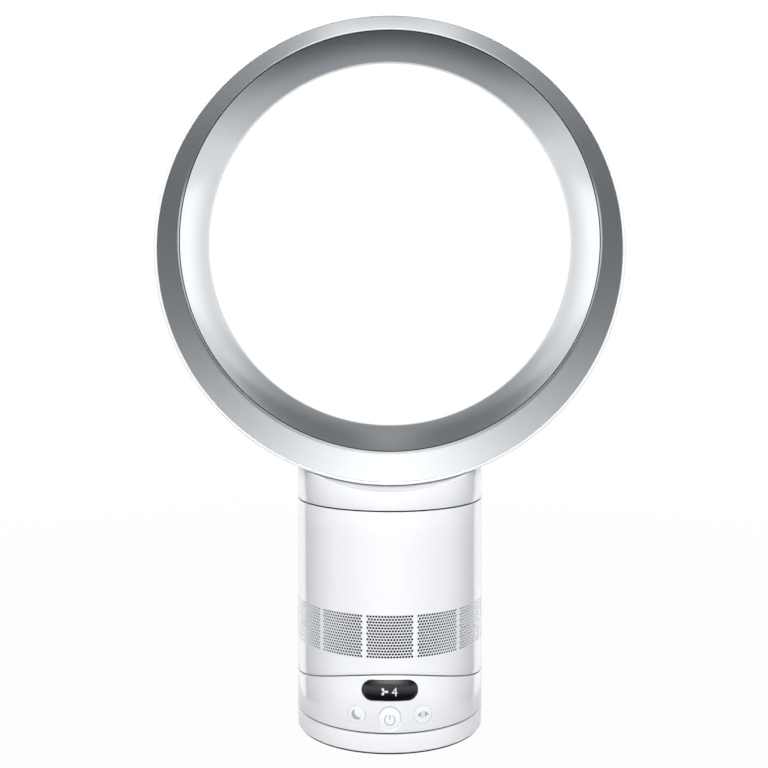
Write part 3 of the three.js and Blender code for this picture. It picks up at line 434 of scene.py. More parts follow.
def rounded(radius, edge, height, up):
    """Three stations round an outer edge, from its flat side to its wall; up is 1 or -1."""
    inset = 0.3 * edge
    return [
        (radius - edge, height),
        (radius - inset, lifted(height, up * inset)),
        (radius, lifted(height, up * edge)),
    ]


# ---------------------------------------------------------------- materials
def add_node(tree, kind, inputs=None, **settings):
    """Adds one node with its fixed inputs, its links and its settings."""
    node = tree.nodes.new(kind)
    for key, value in settings.items():
        setattr(node, key, value)
    for key, value in (inputs or {}).items():
        if isinstance(value, bpy.types.NodeSocket):
            tree.links.new(value, node.inputs[key])
        else:
            node.inputs[key].default_value = value
    return node


def ranged(tree, value, start, end, low, high):
    """Maps a value evenly from one range to another and stops at its ends."""
    inputs = {"Value": value, "From Min": start, "From Max": end, "To Min": low, "To Max": high}
    return add_node(tree, "ShaderNodeMapRange", inputs).outputs["Result"]


def blend(tree, share, first, second):
    """A colour between two colours."""
    inputs = {0: share, 6: first, 7: second}
    return add_node(tree, "ShaderNodeMix", inputs, data_type="RGBA").outputs[2]


def calculated(tree, operation, first, second, clamp=False):
    inputs = {0: first, 1: second}
    node = add_node(tree, "ShaderNodeMath", inputs, operation=operation, use_clamp=clamp)
    return node.outputs[0]


def vector_node(tree, operation, *values):
    return add_node(
        tree, "ShaderNodeVectorMath", dict(enumerate(values)), operation=operation
    ).outputs


def noise(tree, place, scale, detail=2):
    inputs = {"Vector": place, "Scale": scale, "Detail": detail}
    return add_node(tree, "ShaderNodeTexNoise", inputs).outputs["Fac"]


def relief(tree, height, strength, depth_mm):
    inputs = {"Height": height, "Strength": strength, "Distance": depth_mm * MM}
    return add_node(tree, "ShaderNodeBump", inputs).outputs["Normal"]


def principled(tree, inputs):
    return add_node(tree, "ShaderNodeBsdfPrincipled", inputs).outputs["BSDF"]


def emission(tree, strength=1.0, tint=WHITE):
    inputs = {"Color": tint, "Strength": strength}
    return add_node(tree, "ShaderNodeEmission", inputs).outputs["Emission"]


def mixed(tree, share, first, second):
    inputs = {0: share, 1: first, 2: second}
    return add_node(tree, "ShaderNodeMixShader", inputs).outputs["Shader"]


def made_once(name, shade):
    """The material of this name; shade(tree, place) builds its surface the first time."""
    material = bpy.data.materials.get(name)
    if material is None:
        material = bpy.data.materials.new(name)
        material.use_nodes = True
        tree = material.node_tree
        tree.nodes.clear()
        output = add_node(tree, "ShaderNodeOutputMaterial")
        place = add_node(tree, "ShaderNodeTexCoord").outputs["Object"]
        tree.links.new(shade(tree, place), output.inputs["Surface"])
    return material


def rgba(code):
    return (*linear(code), 1)


def darkened(base, spread):
    return (*(c * (1 - spread) for c in base[:3]), 1)


def surface(name, base, grain_mm, spread, rough, bump=0.0, **fixed):
    """A moulded, painted or machined surface: its colour and roughness vary over a grain."""

    def shade(tree, place):
        grain = noise(tree, place, 1 / (grain_mm * MM), 3)
        inputs = {
            "Base Color": blend(tree, grain, darkened(base, spread), base),
            "Roughness": ranged(tree, grain, 0.3, 0.7, *rough),
            **fixed,
        }
        if bump:
            inputs["Normal"] = relief(tree, grain, bump, 0.05)
        return principled(tree, inputs)

    return made_once(name, shade)


def white_abs():
    """ABS moulded in a polished tool: an even white with clear, slightly soft reflections."""
    return surface("Polished white ABS", tone("white"), 30, 0.012, (0.13, 0.17), IOR=1.5)


def button_abs():
    """ABS moulded in a fine-blasted tool: the caps look duller than the shell round them."""
    return surface("Satin white ABS", tone("button"), 1.2, 0.02, (0.3, 0.38), IOR=1.5)


def silver_paint():
    """ABS under silver paint: fine flakes under a clear coat blur what the loop reflects."""
    # The flakes are about 0.03 mm; they are drawn 0.6 mm wide so that they show at all.
    coat = {"Coat Weight": 0.35, "Coat Roughness": 0.08}
    return surface(
        "Silver metallic paint", tone("silver"), 0.6, 0.05, (0.2, 0.25), Metallic=1.0, **coat
    )


def window_lens():
    """Smoked polycarbonate, moulded: almost black, and its dome spreads a highlight."""
    return surface("Smoked polycarbonate", tone("glass"), 20, 0.2, (0.2, 0.24), IOR=1.585)


def printing_ink():
    """Pad-printed grey ink: a matt sign on each cap."""
    return surface("Grey printing ink", tone("ink"), 0.4, 0.05, (0.5, 0.6), IOR=1.5)


def lit_sign():
    """Light that shines through the window's clear signs: bright and even, with soft spots."""

    def shade(tree, place):
        spots = noise(tree, place, 1 / (2.5 * MM))
        inputs = {
            "Base Color": (0.02, 0.02, 0.02, 1),
            "Roughness": 0.2,
            "Emission Color": tone("light"),
            "Emission Strength": ranged(tree, spots, 0, 1, 0.78, 0.92),
        }
        return principled(tree, inputs)

    return made_once("Lit sign", shade)


def rubber():
    """Moulded rubber: matt and nearly black, with a faint grain."""
    return surface("Moulded rubber", rgba("#1D1E20"), 0.8, 0.2, (0.75, 0.9), 0.3)


def housing_abs():
    """Grey ABS moulded in a blasted tool: the unseen ducts and bucket are matt."""
    return surface("Grey ABS", tone("inner"), 1, 0.05, (0.45, 0.55), 0.15, IOR=1.5)


def glass_nylon():
    """Glass-filled nylon: dark and matt, with cloudy streaks from the fibres."""
    return surface("Glass-filled nylon", tone("dark"), 4, 0.25, (0.45, 0.6), 0.2, IOR=1.53)


def acoustic_foam():
    """Open-cell foam: deep pores about a millimetre wide swallow the light; the grain's darker
    patches are painted shade in these pores.
    """
    return surface("Open-cell foam", rgba("#2E2F31"), 1.1, 0.6, (0.9, 1.0), 1.0)


def steel():
    """Turned and plated steel: bright, with soft highlights."""
    return surface("Zinc-plated steel", rgba("#A9ACAE"), 0.5, 0.08, (0.25, 0.35), Metallic=1.0)


def copper_winding():
    """Enamelled copper wire: layers of round turns, each 0.5 mm thick, with a bump that catches
    real highlights; the colour also runs from dark between the turns to bright on each turn, a
    painted shade and painted highlight.
    """

    def shade(tree, place):
        # A wave texture repeats every 0.314 of a metre at a scale of one.
        inputs = {"Vector": place, "Scale": 0.314 / (0.5 * MM), "Distortion": 0.4}
        wire_shade_and_shine = add_node(
            tree, "ShaderNodeTexWave", inputs, bands_direction="Z", wave_profile="SIN"
        ).outputs["Fac"]
        inputs = {
            # The dark and bright bands of the base colour are painted shade and painted highlight
            # across each turn.
            "Base Color": blend(tree, wire_shade_and_shine, rgba("#5A2C18"), rgba("#C07A50")),
            "Metallic": 1.0,
            "Roughness": 0.35,
            "Normal": relief(tree, wire_shade_and_shine, 0.8, 0.2),
        }
        return principled(tree, inputs)

    return made_once("Enamelled copper wire", shade)


def circuit_board():
    """Glass-epoxy board under green solder resist: paler tracks cross the green."""

    def shade(tree, place):
        inputs = {
            "Vector": place,
            "Scale": 1 / (6 * MM),
            "Mortar Size": 0.06,
            "Color1": rgba("#1C5A36"),
            "Color2": rgba("#17502F"),
            "Mortar": rgba("#3B8A58"),
        }
        tracks = add_node(tree, "ShaderNodeTexBrick", inputs, offset=0.5).outputs["Color"]
        return principled(tree, {"Base Color": tracks, "Roughness": 0.35})

    return made_once("Green glass-epoxy board", shade)


def acetal():
    """Natural acetal: creamy white, waxy gears, washers and runners."""
    return surface("Natural acetal", rgba("#E4E0D4"), 3, 0.04, (0.35, 0.45), IOR=1.48)


def seam_shade_acetal():
    """Dark, waxy acetal. On the sliding ring's thin skirt in the seam it is painted shade: a dark
    thing where the seam's own shadow should fall.
    """
    return surface("Black acetal seam shade", rgba("#17181A"), 3, 0.15, (0.4, 0.5), IOR=1.48)


def intake_mesh():
    """Black nylon filter mesh, woven: square threads with darker openings between them; the
    openings' dark is painted shade, the dark that shows through them.
    """

    def shade(tree, place):
        # The threads are 0.1 mm apart; they are drawn 0.6 mm apart so that they show close by.
        inputs = {"Vector": place, "Scale": 1 / (0.6 * MM), "Randomness": 0.0}
        weave = add_node(
            tree, "ShaderNodeTexVoronoi", inputs, distance="CHEBYCHEV"
        ).outputs["Distance"]
        # The darker colour marks the openings: painted shade where one would see into the dark
        # behind the mesh.
        tint = blend(tree, weave, rgba("#3A3B3A"), rgba("#0B0B0C"))
        return principled(tree, {"Base Color": tint, "Roughness": 0.7})

    return made_once("Black nylon mesh", shade)


# ---------------------------------------------------------------- air loop
def dropped(points, fixed, full, drops):
    """Stations whose centre drops from the first value at the fixed circle to the last."""
    first, last = drops
    return [
        (r, y, first + (last - first) * min(1, max(0, (r - fixed) / (full - fixed))))
        for r, y in points
    ]


def shell_profile(loop):
    outer, inner = loop.outer_radius, loop.outer_radius - loop.wall
    rear, rear_r = loop.rear, loop.rear_radius
    lip_rear = loop.lip_tip + loop.lip_length
    lip_outer = loop.lip_radius + loop.lip_wall
    start = loop.rear_start
    edge = 0.3 * MM
    points = [(inner, loop.front + edge), (inner + edge, loop.front)]
    points += [
        (outer - loop.rim_round + x, loop.front + loop.rim_round - y)
        for x, y in quarter((0, 0), (loop.rim_round, loop.rim_round), 1, 0, 5)
    ]
    points += [(outer, loop.front + (start - loop.front) * k) for k in (0.3, 0.6)]
    points += quarter((rear_r, start), (outer - rear_r, rear - start), 0, 1)
    points += quarter((rear_r, lip_rear), (rear_r - loop.lip_radius, rear - lip_rear), 1, 2)[1:]
    points += [(loop.lip_radius, loop.lip_tip + edge), (loop.lip_radius + edge, loop.lip_tip)]
    points += [(lip_outer - edge, loop.lip_tip), (lip_outer, loop.lip_tip + edge)]
    rear -= loop.wall
    points += quarter((rear_r, lip_rear), (rear_r - lip_outer, rear - lip_rear), 2, 1)
    points += quarter((rear_r, start), (inner - rear_r, rear - start), 1, 0)[1:]
    return points


def diffuser_profile(loop):
    nose, centre = loop.nose_radius, loop.throat_radius + loop.nose_radius
    start, end = -loop.diffuser_exit, math.asin(loop.nose_length / nose)
    steps, nose_steps, inner_steps = 16, 12, 8

    def on_nose(radius, part):
        turn = start + (end - start) * part
        return centre - radius * math.cos(turn), loop.throat_depth + radius * math.sin(turn)

    join_r, join_y = on_nose(nose, 0)
    steepness = loop.diffuser_exit - loop.diffuser_entry
    slopes = [
        math.tan(loop.diffuser_entry + steepness * (i + 0.5) / steps) for i in range(steps)
    ]
    fall = (loop.diffuser_front_radius - join_r) / sum(slopes)
    radius, depth = loop.diffuser_front_radius, loop.diffuser_front
    points = [(radius + 0.25 * MM, depth + 0.5 * MM)]
    for slope in slopes:
        points.append((radius, depth))
        radius -= slope * fall
        depth += (join_y - loop.diffuser_front) / steps
    points += [on_nose(nose, i / nose_steps) for i in range(nose_steps + 1)]
    inner = nose - loop.diffuser_wall
    points += [on_nose(inner, i / inner_steps) for i in range(inner_steps, -1, -1)]
    points.append((loop.diffuser_front_radius + loop.diffuser_wall, loop.diffuser_front + 5 * MM))
    return points


def bezel_profile(loop):
    edge, steps = 0.05 * MM, 8
    skirt_depth, skirt_wall, back_inset = 4 * MM, 1.6 * MM, 2.4 * MM
    inner, outer = loop.bezel_inner, loop.bezel_outer
    front, back = loop.bezel_outer_depth, loop.bezel_inner_depth
    slope = (back - front) / (outer - inner)
    points = [(inner, back + edge)]
    for k in range(steps + 1):
        radius = inner + edge + (outer - inner - 2 * edge) * k / steps
        points.append((radius, back - slope * (radius - inner)))
    points += [(outer, front + edge), (outer, front + skirt_depth)]
    points += [(outer - skirt_wall, front + skirt_depth)]
    points += [(outer - skirt_wall, front + skirt_wall * slope + loop.bezel_wall)]
    points += [(inner + back_inset, back - back_inset * slope + loop.bezel_wall)]
    return points


class FAN_OT_air_loop(bpy.types.Operator):
    """Build the loop: white shell, silver bevel, silver diffuser and the slot's spacers"""

    bl_idname = "fan.air_loop"
    bl_label = "Air Loop"

    def execute(self, context):
        loop = context.scene.fan_loop
        # The shell's circles are fully dropped a little inside its rim.
        full = loop.outer_radius - loop.wall - 3.7 * MM
        stations = dropped(shell_profile(loop), loop.rear_radius, full, (0, loop.drop))
        self.skin("air_loop_shell", stations, "white_abs", white_abs(), "loop_outer_shell")
        drops = loop.front_drop, loop.drop
        stations = dropped(bezel_profile(loop), loop.bezel_inner, loop.bezel_outer, drops)
        self.skin("air_loop_bevel", stations, "silver_paint", silver_paint(), "loop_front_bezel")
        throat, front = loop.throat_radius + loop.diffuser_wall, loop.diffuser_front_radius
        stations = dropped(diffuser_profile(loop), throat, front, (0, loop.front_drop))
        self.skin("air_loop_diffuser", stations, "silver_paint", silver_paint(), "loop_inner_shell")
        self.spacers(loop)
        return {"FINISHED"}

    def skin(self, name, stations, slot, material, node):
        centre = (0, bpy.context.scene.fan_loop.inner_height)
        finish(rings(name, stations, "Y", centre, LOOP_SIDES), "loop", material, [node])

    def spacers(self, loop):
        """Ten ribs hold the slot open."""
        fresh()
        count = 10
        place = (0, loop.lip_tip + 1.8 * MM, loop.lip_radius + loop.lip_wall + 0.3 * MM)
        bpy.ops.mesh.primitive_cube_add(size=1, location=place, scale=(2 * MM, 3 * MM, 1.6 * MM))
        rib = named("slot_spacer")
        soften(rib, 0.2 * MM)
        up = Matrix.Translation((0, 0, loop.inner_height))
        copies = [
            copy_turned(rib, up @ Matrix.Rotation(math.tau * i / count, 4, "Y"), "slot_rib")
            for i in range(count)
        ]
        bpy.data.objects.remove(rib)
        ribs = merged(copies, "slot_spacers")
        finish(ribs, "loop", white_abs())


# ---------------------------------------------------------------- neck
class FAN_OT_neck(bpy.types.Operator):
    """Build the neck with the saddle that the loop lies in"""

    bl_idname = "fan.neck"
    bl_label = "Neck"

    def execute(self, context):
        column, loop, _ = sizes()
        top = saddle_height(loop.saddle_radius)
        under = saddle_height(loop.saddle_radius + column.wall)
        radius, edge, low = column.radius, column.edge, column.neck_low
        inner, floor = radius - column.wall, low + column.wall
        duct, bore, spigot, spigot_low = 22 * MM, 58 * MM, 61.6 * MM, 168 * MM
        chamfer, bore_chamfer = 0.5 * MM, 0.4 * MM
        stations = [(duct, top)]
        stations += [(radius * k, top) for k in (0.45, 0.6, 0.75, 0.88, 0.95)]
        stations += rounded(radius, edge, top, -1) + [(radius, low + 6 * MM)]
        stations += rounded(radius, edge, low, 1)[::-1]
        stations += [(spigot, low), (spigot, spigot_low + chamfer), (spigot - chamfer, spigot_low)]
        stations += [(bore + bore_chamfer, spigot_low), (bore, spigot_low + bore_chamfer)]
        stations += [(bore, floor), (inner, floor), (inner, under)]
        stations += [(radius * 0.6, under), (duct, under)]
        neck = rings("loop_neck_shell", stations)
        finish(neck, "loop", white_abs(), ["loop_neck"])
        return {"FINISHED"}


# ---------------------------------------------------------------- perforated body
def repeated(piece, count, offset):
    """Repeats a sheet in one direction and welds the copies."""
    apply_modifier(
        piece,
        "ARRAY",
        count=count,
        use_relative_offset=False,
        use_constant_offset=True,
        constant_offset_displace=offset,
        use_merge_vertices=True,
        merge_threshold=SLACK,
    )


def holed_tile(width, height, hole):
    """One flat tile round one hole: an eight-sided hole in a frame of corners and midpoints."""
    sides, middle = 8, Vector((width / 2, 0, height / 2))
    tile = circle("tile", sides, hole, middle)
    edit(tile)
    grow = width / 2 / hole
    extrude((0, 0, 0), (grow, 1, grow * height / width), middle)

    def is_corner(vertex):
        away = vertex.co - middle
        return vertex.index >= sides and abs(away.x) > 0.1 * width and abs(away.z) > 0.1 * height

    pick(is_corner)
    root = math.sqrt(2)
    bpy.ops.transform.resize(value=(root, 1, root), center_override=middle)
    leave()
    return tile


def plain_sheet(width, height, columns, rows, left, low):
    """A flat plain sheet of small faces."""
    fresh()
    bpy.ops.mesh.primitive_grid_add(
        x_subdivisions=columns,
        y_subdivisions=rows,
        size=1,
        location=(left + width / 2, 0, low + height / 2),
        rotation=FACING_FRONT,
    )
    bpy.context.object.scale = (width, height, 1)
    return named("sheet")


def holed_panel(column):
    """A panel of staggered holes with a plain strip at its right, flat in the XZ plane."""
    pitch = math.tau * column.radius / column.panels
    wide = (pitch - column.band_rib) / column.hole_columns
    tall = column.band_height / column.hole_rows
    long_row = holed_tile(wide, tall, column.hole_radius)
    repeated(long_row, column.hole_columns, (wide, 0, 0))
    short_row = holed_tile(wide, tall, column.hole_radius)
    repeated(short_row, column.hole_columns - 1, (wide, 0, 0))
    short_row.data.transform(Matrix.Translation((wide / 2, 0, tall)))
    left = plain_sheet(wide / 2, tall, 1, 2, 0, tall)
    right = plain_sheet(wide / 2, tall, 1, 2, wide * (column.hole_columns - 0.5), tall)
    top_row = copy_turned(
        long_row, Matrix.Translation((0, 0, tall * (column.hole_rows - 1))), "top_row"
    )
    pair = merged([long_row, short_row, left, right], "row_pair")
    repeated(pair, column.hole_rows // 2, (0, 0, 2 * tall))
    rib = plain_sheet(
        column.band_rib, column.band_height, 2, 2 * column.hole_rows, pitch - column.band_rib, 0
    )
    panel = merged([pair, top_row, rib], "panel")
    panel.data.transform(Matrix.Translation(((column.band_rib - pitch) / 2, 0, column.band_low)))
    return panel, pitch


class FAN_OT_casing(bpy.types.Operator):
    """Build the body's casing: a perforated band between two plain walls"""

    bl_idname = "fan.casing"
    bl_label = "Perforated Casing"

    def execute(self, context):
        column = context.scene.fan_column
        casing, pitch = holed_panel(column)
        repeated(casing, column.panels, (pitch, 0, 0))
        radius = column.radius
        for vertex in casing.data.vertices:
            turn = vertex.co.x / radius
            vertex.co.x = radius * math.sin(turn)
            vertex.co.y = -radius * math.cos(turn)
        edit(casing)
        bpy.ops.mesh.remove_doubles(threshold=SLACK)
        self.upper_wall(column)
        self.lower_wall(column)
        self.face_outwards()
        leave()
        self.thicken(casing, column)
        casing.name = casing.data.name = "body_perforated_casing"
        finish(casing, "fan_body", white_abs(), ["body_casing"], smooth=32)
        self.mesh_tube(column)
        return {"FINISHED"}

    def thicken(self, casing, column):
        """The band is thinner than the plain walls above and below it."""
        low, high = column.band_low, column.band_low + column.band_height
        plain_wall = casing.vertex_groups.new(name="plain wall")
        for vertex in casing.data.vertices:
            in_band = low - SLACK < vertex.co.z < high + SLACK
            plain_wall.add([vertex.index], 0 if in_band else 1, "REPLACE")
        apply_modifier(
            casing,
            "SOLIDIFY",
            thickness=column.wall,
            offset=-1,
            vertex_group=plain_wall.name,
            thickness_vertex_group=column.band_wall / column.wall,
        )
        casing.vertex_groups.clear()

    def mesh_tube(self, column):
        """A fine mesh behind the holes keeps dust out of the impeller."""
        gap, thick, rows = 0.6 * MM, 0.4 * MM, 8
        outer = column.radius - column.wall - gap
        inner = outer - thick
        low, high = column.band_low - 1.5 * MM, column.band_low + column.band_height + 1 * MM
        middle = [low + (high - low) * k / rows for k in range(rows + 1)]
        tube = rings(
            "intake_mesh", [(outer, z) for z in middle] + [(inner, z) for z in reversed(middle)]
        )
        finish(tube, "fan_body", intake_mesh())

    def upper_wall(self, column):
        edge = column.band_low + column.band_height
        pick(lambda v: abs(v.co.z - edge) < 2 * SLACK)
        top = column.body_top
        radius = column.radius
        heights = [edge + (top - edge) * k for k in (0.25, 0.5, 0.75)]
        steps = [(z, radius) for z in heights] + [(top - column.edge, radius)]
        steps += [(z, wide) for wide, z in rounded(radius, column.edge, top, -1)[1::-1]]
        self.walk(edge, radius, steps)

    def lower_wall(self, column):
        edge = column.band_low
        pick(lambda v: abs(v.co.z - edge) < 2 * SLACK)
        arc = arc_height(column.body_radius)
        middle = (0, 0, edge)
        for k in (0.2, 0.4, 0.6, 0.8):
            extrude((0, 0, -MM), (1, 1, 1), middle)
            settle(lambda co, k=k: edge + (arc(co) + column.edge - edge) * k)
        radius = column.radius
        for rise, inset in ((1, 0), (0.3, 0.3), (0, 1)):
            grow = (column.radius - inset * column.edge) / radius
            extrude((0, 0, -MM), (grow, grow, 1), middle)
            settle(lambda co, rise=rise: arc(co) + rise * column.edge)
            radius = column.radius - inset * column.edge

    def walk(self, height, radius, steps):
        """Extrudes the selected edge loop from step to step of (height, radius)."""
        for after, wide in steps:
            grow = wide / radius
            extrude((0, 0, after - height), (grow, grow, 1), (0, 0, after))
            height, radius = after, wide

    def face_outwards(self):
        """The wall is still an open sheet, so each face is turned away from the axis."""
        mesh = bmesh.from_edit_mesh(bpy.context.object.data)
        for face in mesh.faces:
            face.normal_update()
            middle = face.calc_center_median()
            if face.normal.x * middle.x + face.normal.y * middle.y < 0:
                face.normal_flip()
        bmesh.update_edit_mesh(bpy.context.object.data)


# ---------------------------------------------------------------- base
def cross_bar(name, radius, x, z, front, rear, count=BAR_SIDES):
    """A round bar along Y with flat ends."""
    return rings(name, [(radius, front), (radius, rear)], "Y", (x, z), count, "fill")


def pull_apart(distance):
    """Moves the left and right halves of the piece apart, by a distance each."""
    for side in (-1, 1):
        pick(lambda v, side=side: v.co.x * side > 0.1 * SLACK)
        bpy.ops.transform.translate(value=(side * distance, 0, 0))


def pill_bar(name, width, height, z, front, rear):
    """A pill-shaped bar along Y: the two halves of a round bar are pulled apart."""
    bar = cross_bar(name, height / 2, 0, z, front, rear, PILL_SIDES)
    edit(bar)
    pull_apart((width - height) / 2)
    leave()
    return bar


def column_skin(name, inner, outer, low, high):
    """A tube about the column's axis, for pieces that follow its curve."""
    stations = [(outer, low), (outer, high), (inner, high), (inner, low)]
    return rings(name, stations, count=SHELL_SIDES)


def button_places(front):
    return {
        "timer": (-front.side_offset, front.side_rise, front.side_radius),
        "power": (0, front.power_rise, front.power_radius),
        "swing": (front.side_offset, front.side_rise, front.side_radius),
    }


class FAN_OT_base(bpy.types.Operator):
    """Build the base shell with its window, its button holes and its arc-shaped upper edge"""

    bl_idname = "fan.base"
    bl_label = "Base"

    def execute(self, context):
        column, _, front = sizes()
        radius, edge, low = column.radius, column.edge, column.base_low
        arc = arc_height(column.cradle_radius)
        inner = radius - column.wall
        stations = rounded(radius, edge, low, 1) + rounded(radius, edge, arc, -1)[::-1]
        stations += [(inner, arc), (inner, low)]
        shell = rings("base_shell_skin", stations, count=SHELL_SIDES)
        gap = 2 * front.window_gap
        width, height = front.window_width + gap, front.window_height + gap
        front_end = -radius - CUT_REACH
        cut = pill_bar("window_cut", width, height, front.window_rise, front_end, CUT_DEPTH)
        carve(shell, cut)
        for name, (x, z, size) in button_places(front).items():
            hole = size + front.button_gap
            flare = front.power_flare if name == "power" else 0.25 * MM
            mouth = -radius + front.power_flare - flare
            stations = [(hole + flare, mouth - 4 * MM), (hole + flare, mouth)]
            stations += [(hole, mouth + flare), (hole, CUT_DEPTH)]
            carve(shell, rings("button_cut", stations, "Y", (x, z), BAR_SIDES, "fill"))
        finish(shell, "base", white_abs(), ["base_shell"], smooth=30)
        return {"FINISHED"}


# ---------------------------------------------------------------- display and buttons
def laid_on(piece, radius):
    """Lays a flat sign on the column's curve."""
    for vertex in piece.data.vertices:
        vertex.co.y = -math.sqrt(radius**2 - vertex.co.x**2)


def flat_ring(outer, inner, x, z, count=48, gap=0):
    """A flat ring that faces the front, open over the gap angle at its top."""
    ring = circle("sign", count, outer, (x, 0, z))
    edit(ring)
    extrude((0, 0, 0), (inner / outer, 1, inner / outer), (x, 0, z))
    if gap:
        pick(lambda v: abs(math.atan2(v.co.x - x, v.co.z - z)) < gap / 2)
        bpy.ops.mesh.delete(type="VERT")
    leave()
    return ring


def flat_disc(radius, x, z, count=24, stretch=(1, 1), turn=0.0):
    """A filled flat shape that faces the front."""
    return circle("sign", count, radius, (x, 0, z), (QUARTER_TURN, turn, 0), "NGON", stretch)


def flat_bar(width, height, x, z):
    """A flat bar that faces the front, with cut corners."""
    fresh()
    bpy.ops.mesh.primitive_plane_add(size=1, location=(x, 0, z), rotation=FACING_FRONT)
    bpy.context.object.scale = (width, height, 1)
    bar = named("sign")
    apply_modifier(bar, "BEVEL", affect="VERTICES", width=min(width, height) / 4, segments=2)
    return bar


def subdivided(sign, width):
    """Cuts a flat sign into narrow strips, so that it can follow a curve."""
    low = min(v.co.x for v in sign.data.vertices)
    high = max(v.co.x for v in sign.data.vertices)
    bottom = min(v.co.z for v in sign.data.vertices)
    top = max(v.co.z for v in sign.data.vertices)
    edit(sign)
    for start, end, normal in ((low, high, (1, 0, 0)), (bottom, top, (0, 0, 1))):
        for i in range(1, int((end - start) / width) + 1):
            place = start + i * width
            bpy.ops.mesh.select_all(action="SELECT")
            bpy.ops.mesh.bisect(plane_co=(place, 0, place), plane_no=normal)
    leave()


def thickened(sign, lift):
    """Turns a sheet's faces to the front and thickens it outwards."""
    edit(sign)
    mesh = bmesh.from_edit_mesh(sign.data)
    for face in mesh.faces:
        face.normal_update()
        if face.normal.y > 0:
            face.normal_flip()
    bmesh.update_edit_mesh(sign.data)
    leave()
    apply_modifier(sign, "SOLIDIFY", thickness=lift, offset=1)


def signed(pieces, name, radius, lift, body):
    """Joins the shapes of a printed sign and lays it on its button."""
    sign = merged(pieces, name)
    subdivided(sign, SIGN_STRIP)
    laid_on(sign, radius)
    thickened(sign, lift)
    return finish(sign, body, printing_ink())


class FAN_OT_display(bpy.types.Operator):
    """Build the black window and the lit signs behind it"""

    bl_idname = "fan.display"
    bl_label = "Display"

    def execute(self, context):
        column, _, front = sizes()
        radius = column.radius
        window = self.window(front, radius, column.wall)
        finish(window, "base", window_lens(), ["display_window"])
        self.fan_sign(front, radius)
        self.digit(front, radius)
        return {"FINISHED"}

    def window(self, front, radius, wall):
        """A domed pill: a round bar, pulled apart and laid on the column's curve."""
        half = front.window_height / 2
        stations = [(half, wall), (half, 0.35 * MM), (half - 0.1 * MM, 0.1 * MM)]
        for k in (0.95, 0.88, 0.8, 0.7, 0.6, 0.5, 0.4, 0.3, 0.2, 0.1, 0.02):
            stations.append((half * k, -front.window_dome * (1 - k**2)))
        window = rings("display_glass", stations, "Y", (0, front.window_rise), PILL_SIDES, "fill")
        edit(window)
        apart = front.window_width / 2 - half
        pull_apart(apart)
        strips = 10
        for i in range(1 - strips, strips):
            bpy.ops.mesh.select_all(action="SELECT")
            bpy.ops.mesh.bisect(plane_co=(i * apart / strips, 0, 0), plane_no=(1, 0, 0))
        leave()
        for vertex in window.data.vertices:
            vertex.co.y -= math.sqrt(radius**2 - vertex.co.x**2)
        return window

    def fan_sign(self, front, radius):
        """Three blades round a hub, in shares of half the sign's height."""
        x, z = -4.2 * MM, front.window_rise - 0.3 * MM
        size = front.icon_height / 2
        blades = []
        for i in range(3):
            turn = math.tau * (i / 3 + 0.25)
            away = 0.53 * size
            place = x + away * math.sin(turn), z + away * math.cos(turn)
            blades.append(flat_disc(0.4 * size, *place, 20, (0.72, 1.0), turn))
        blades.append(flat_disc(0.16 * size, x, z, 16))
        self.lit(blades, "display_fan_sign", front, radius)

    def digit(self, front, radius):
        """The speed as a digit."""
        fresh()
        bpy.ops.object.text_add(location=(0, 0, 0))
        text = bpy.context.object
        text.data.body = "4"
        text.data.align_x = "CENTER"
        size_of_digit = 1.38  # the font's size over the height of a digit
        text.data.size = front.icon_height * size_of_digit
        text.data.resolution_u = 4
        bpy.ops.object.convert(target="MESH")
        digit = named("sign")
        digit.data.transform(
            Matrix.Translation((3.5 * MM, 0, front.window_rise - 0.3 * MM - front.icon_height / 2))
            @ Matrix.Rotation(QUARTER_TURN, 4, "X")
        )
        self.lit([digit], "display_digit", front, radius)

    def lit(self, shapes, name, front, radius):
        """Lays a sign on the dome, a print's thickness proud of it."""
        sign = merged(shapes, name)
        subdivided(sign, SIGN_STRIP)
        half = front.window_height / 2
        apart = front.window_width / 2 - half
        for vertex in sign.data.vertices:
            x, z = vertex.co.x, vertex.co.z - front.window_rise
            away = math.hypot(max(0, abs(x) - apart), z) / half
            vertex.co.y = -math.sqrt(radius**2 - x**2) - front.window_dome * (1 - away**2)
        thickened(sign, front.print_lift)
        finish(sign, "base", lit_sign())


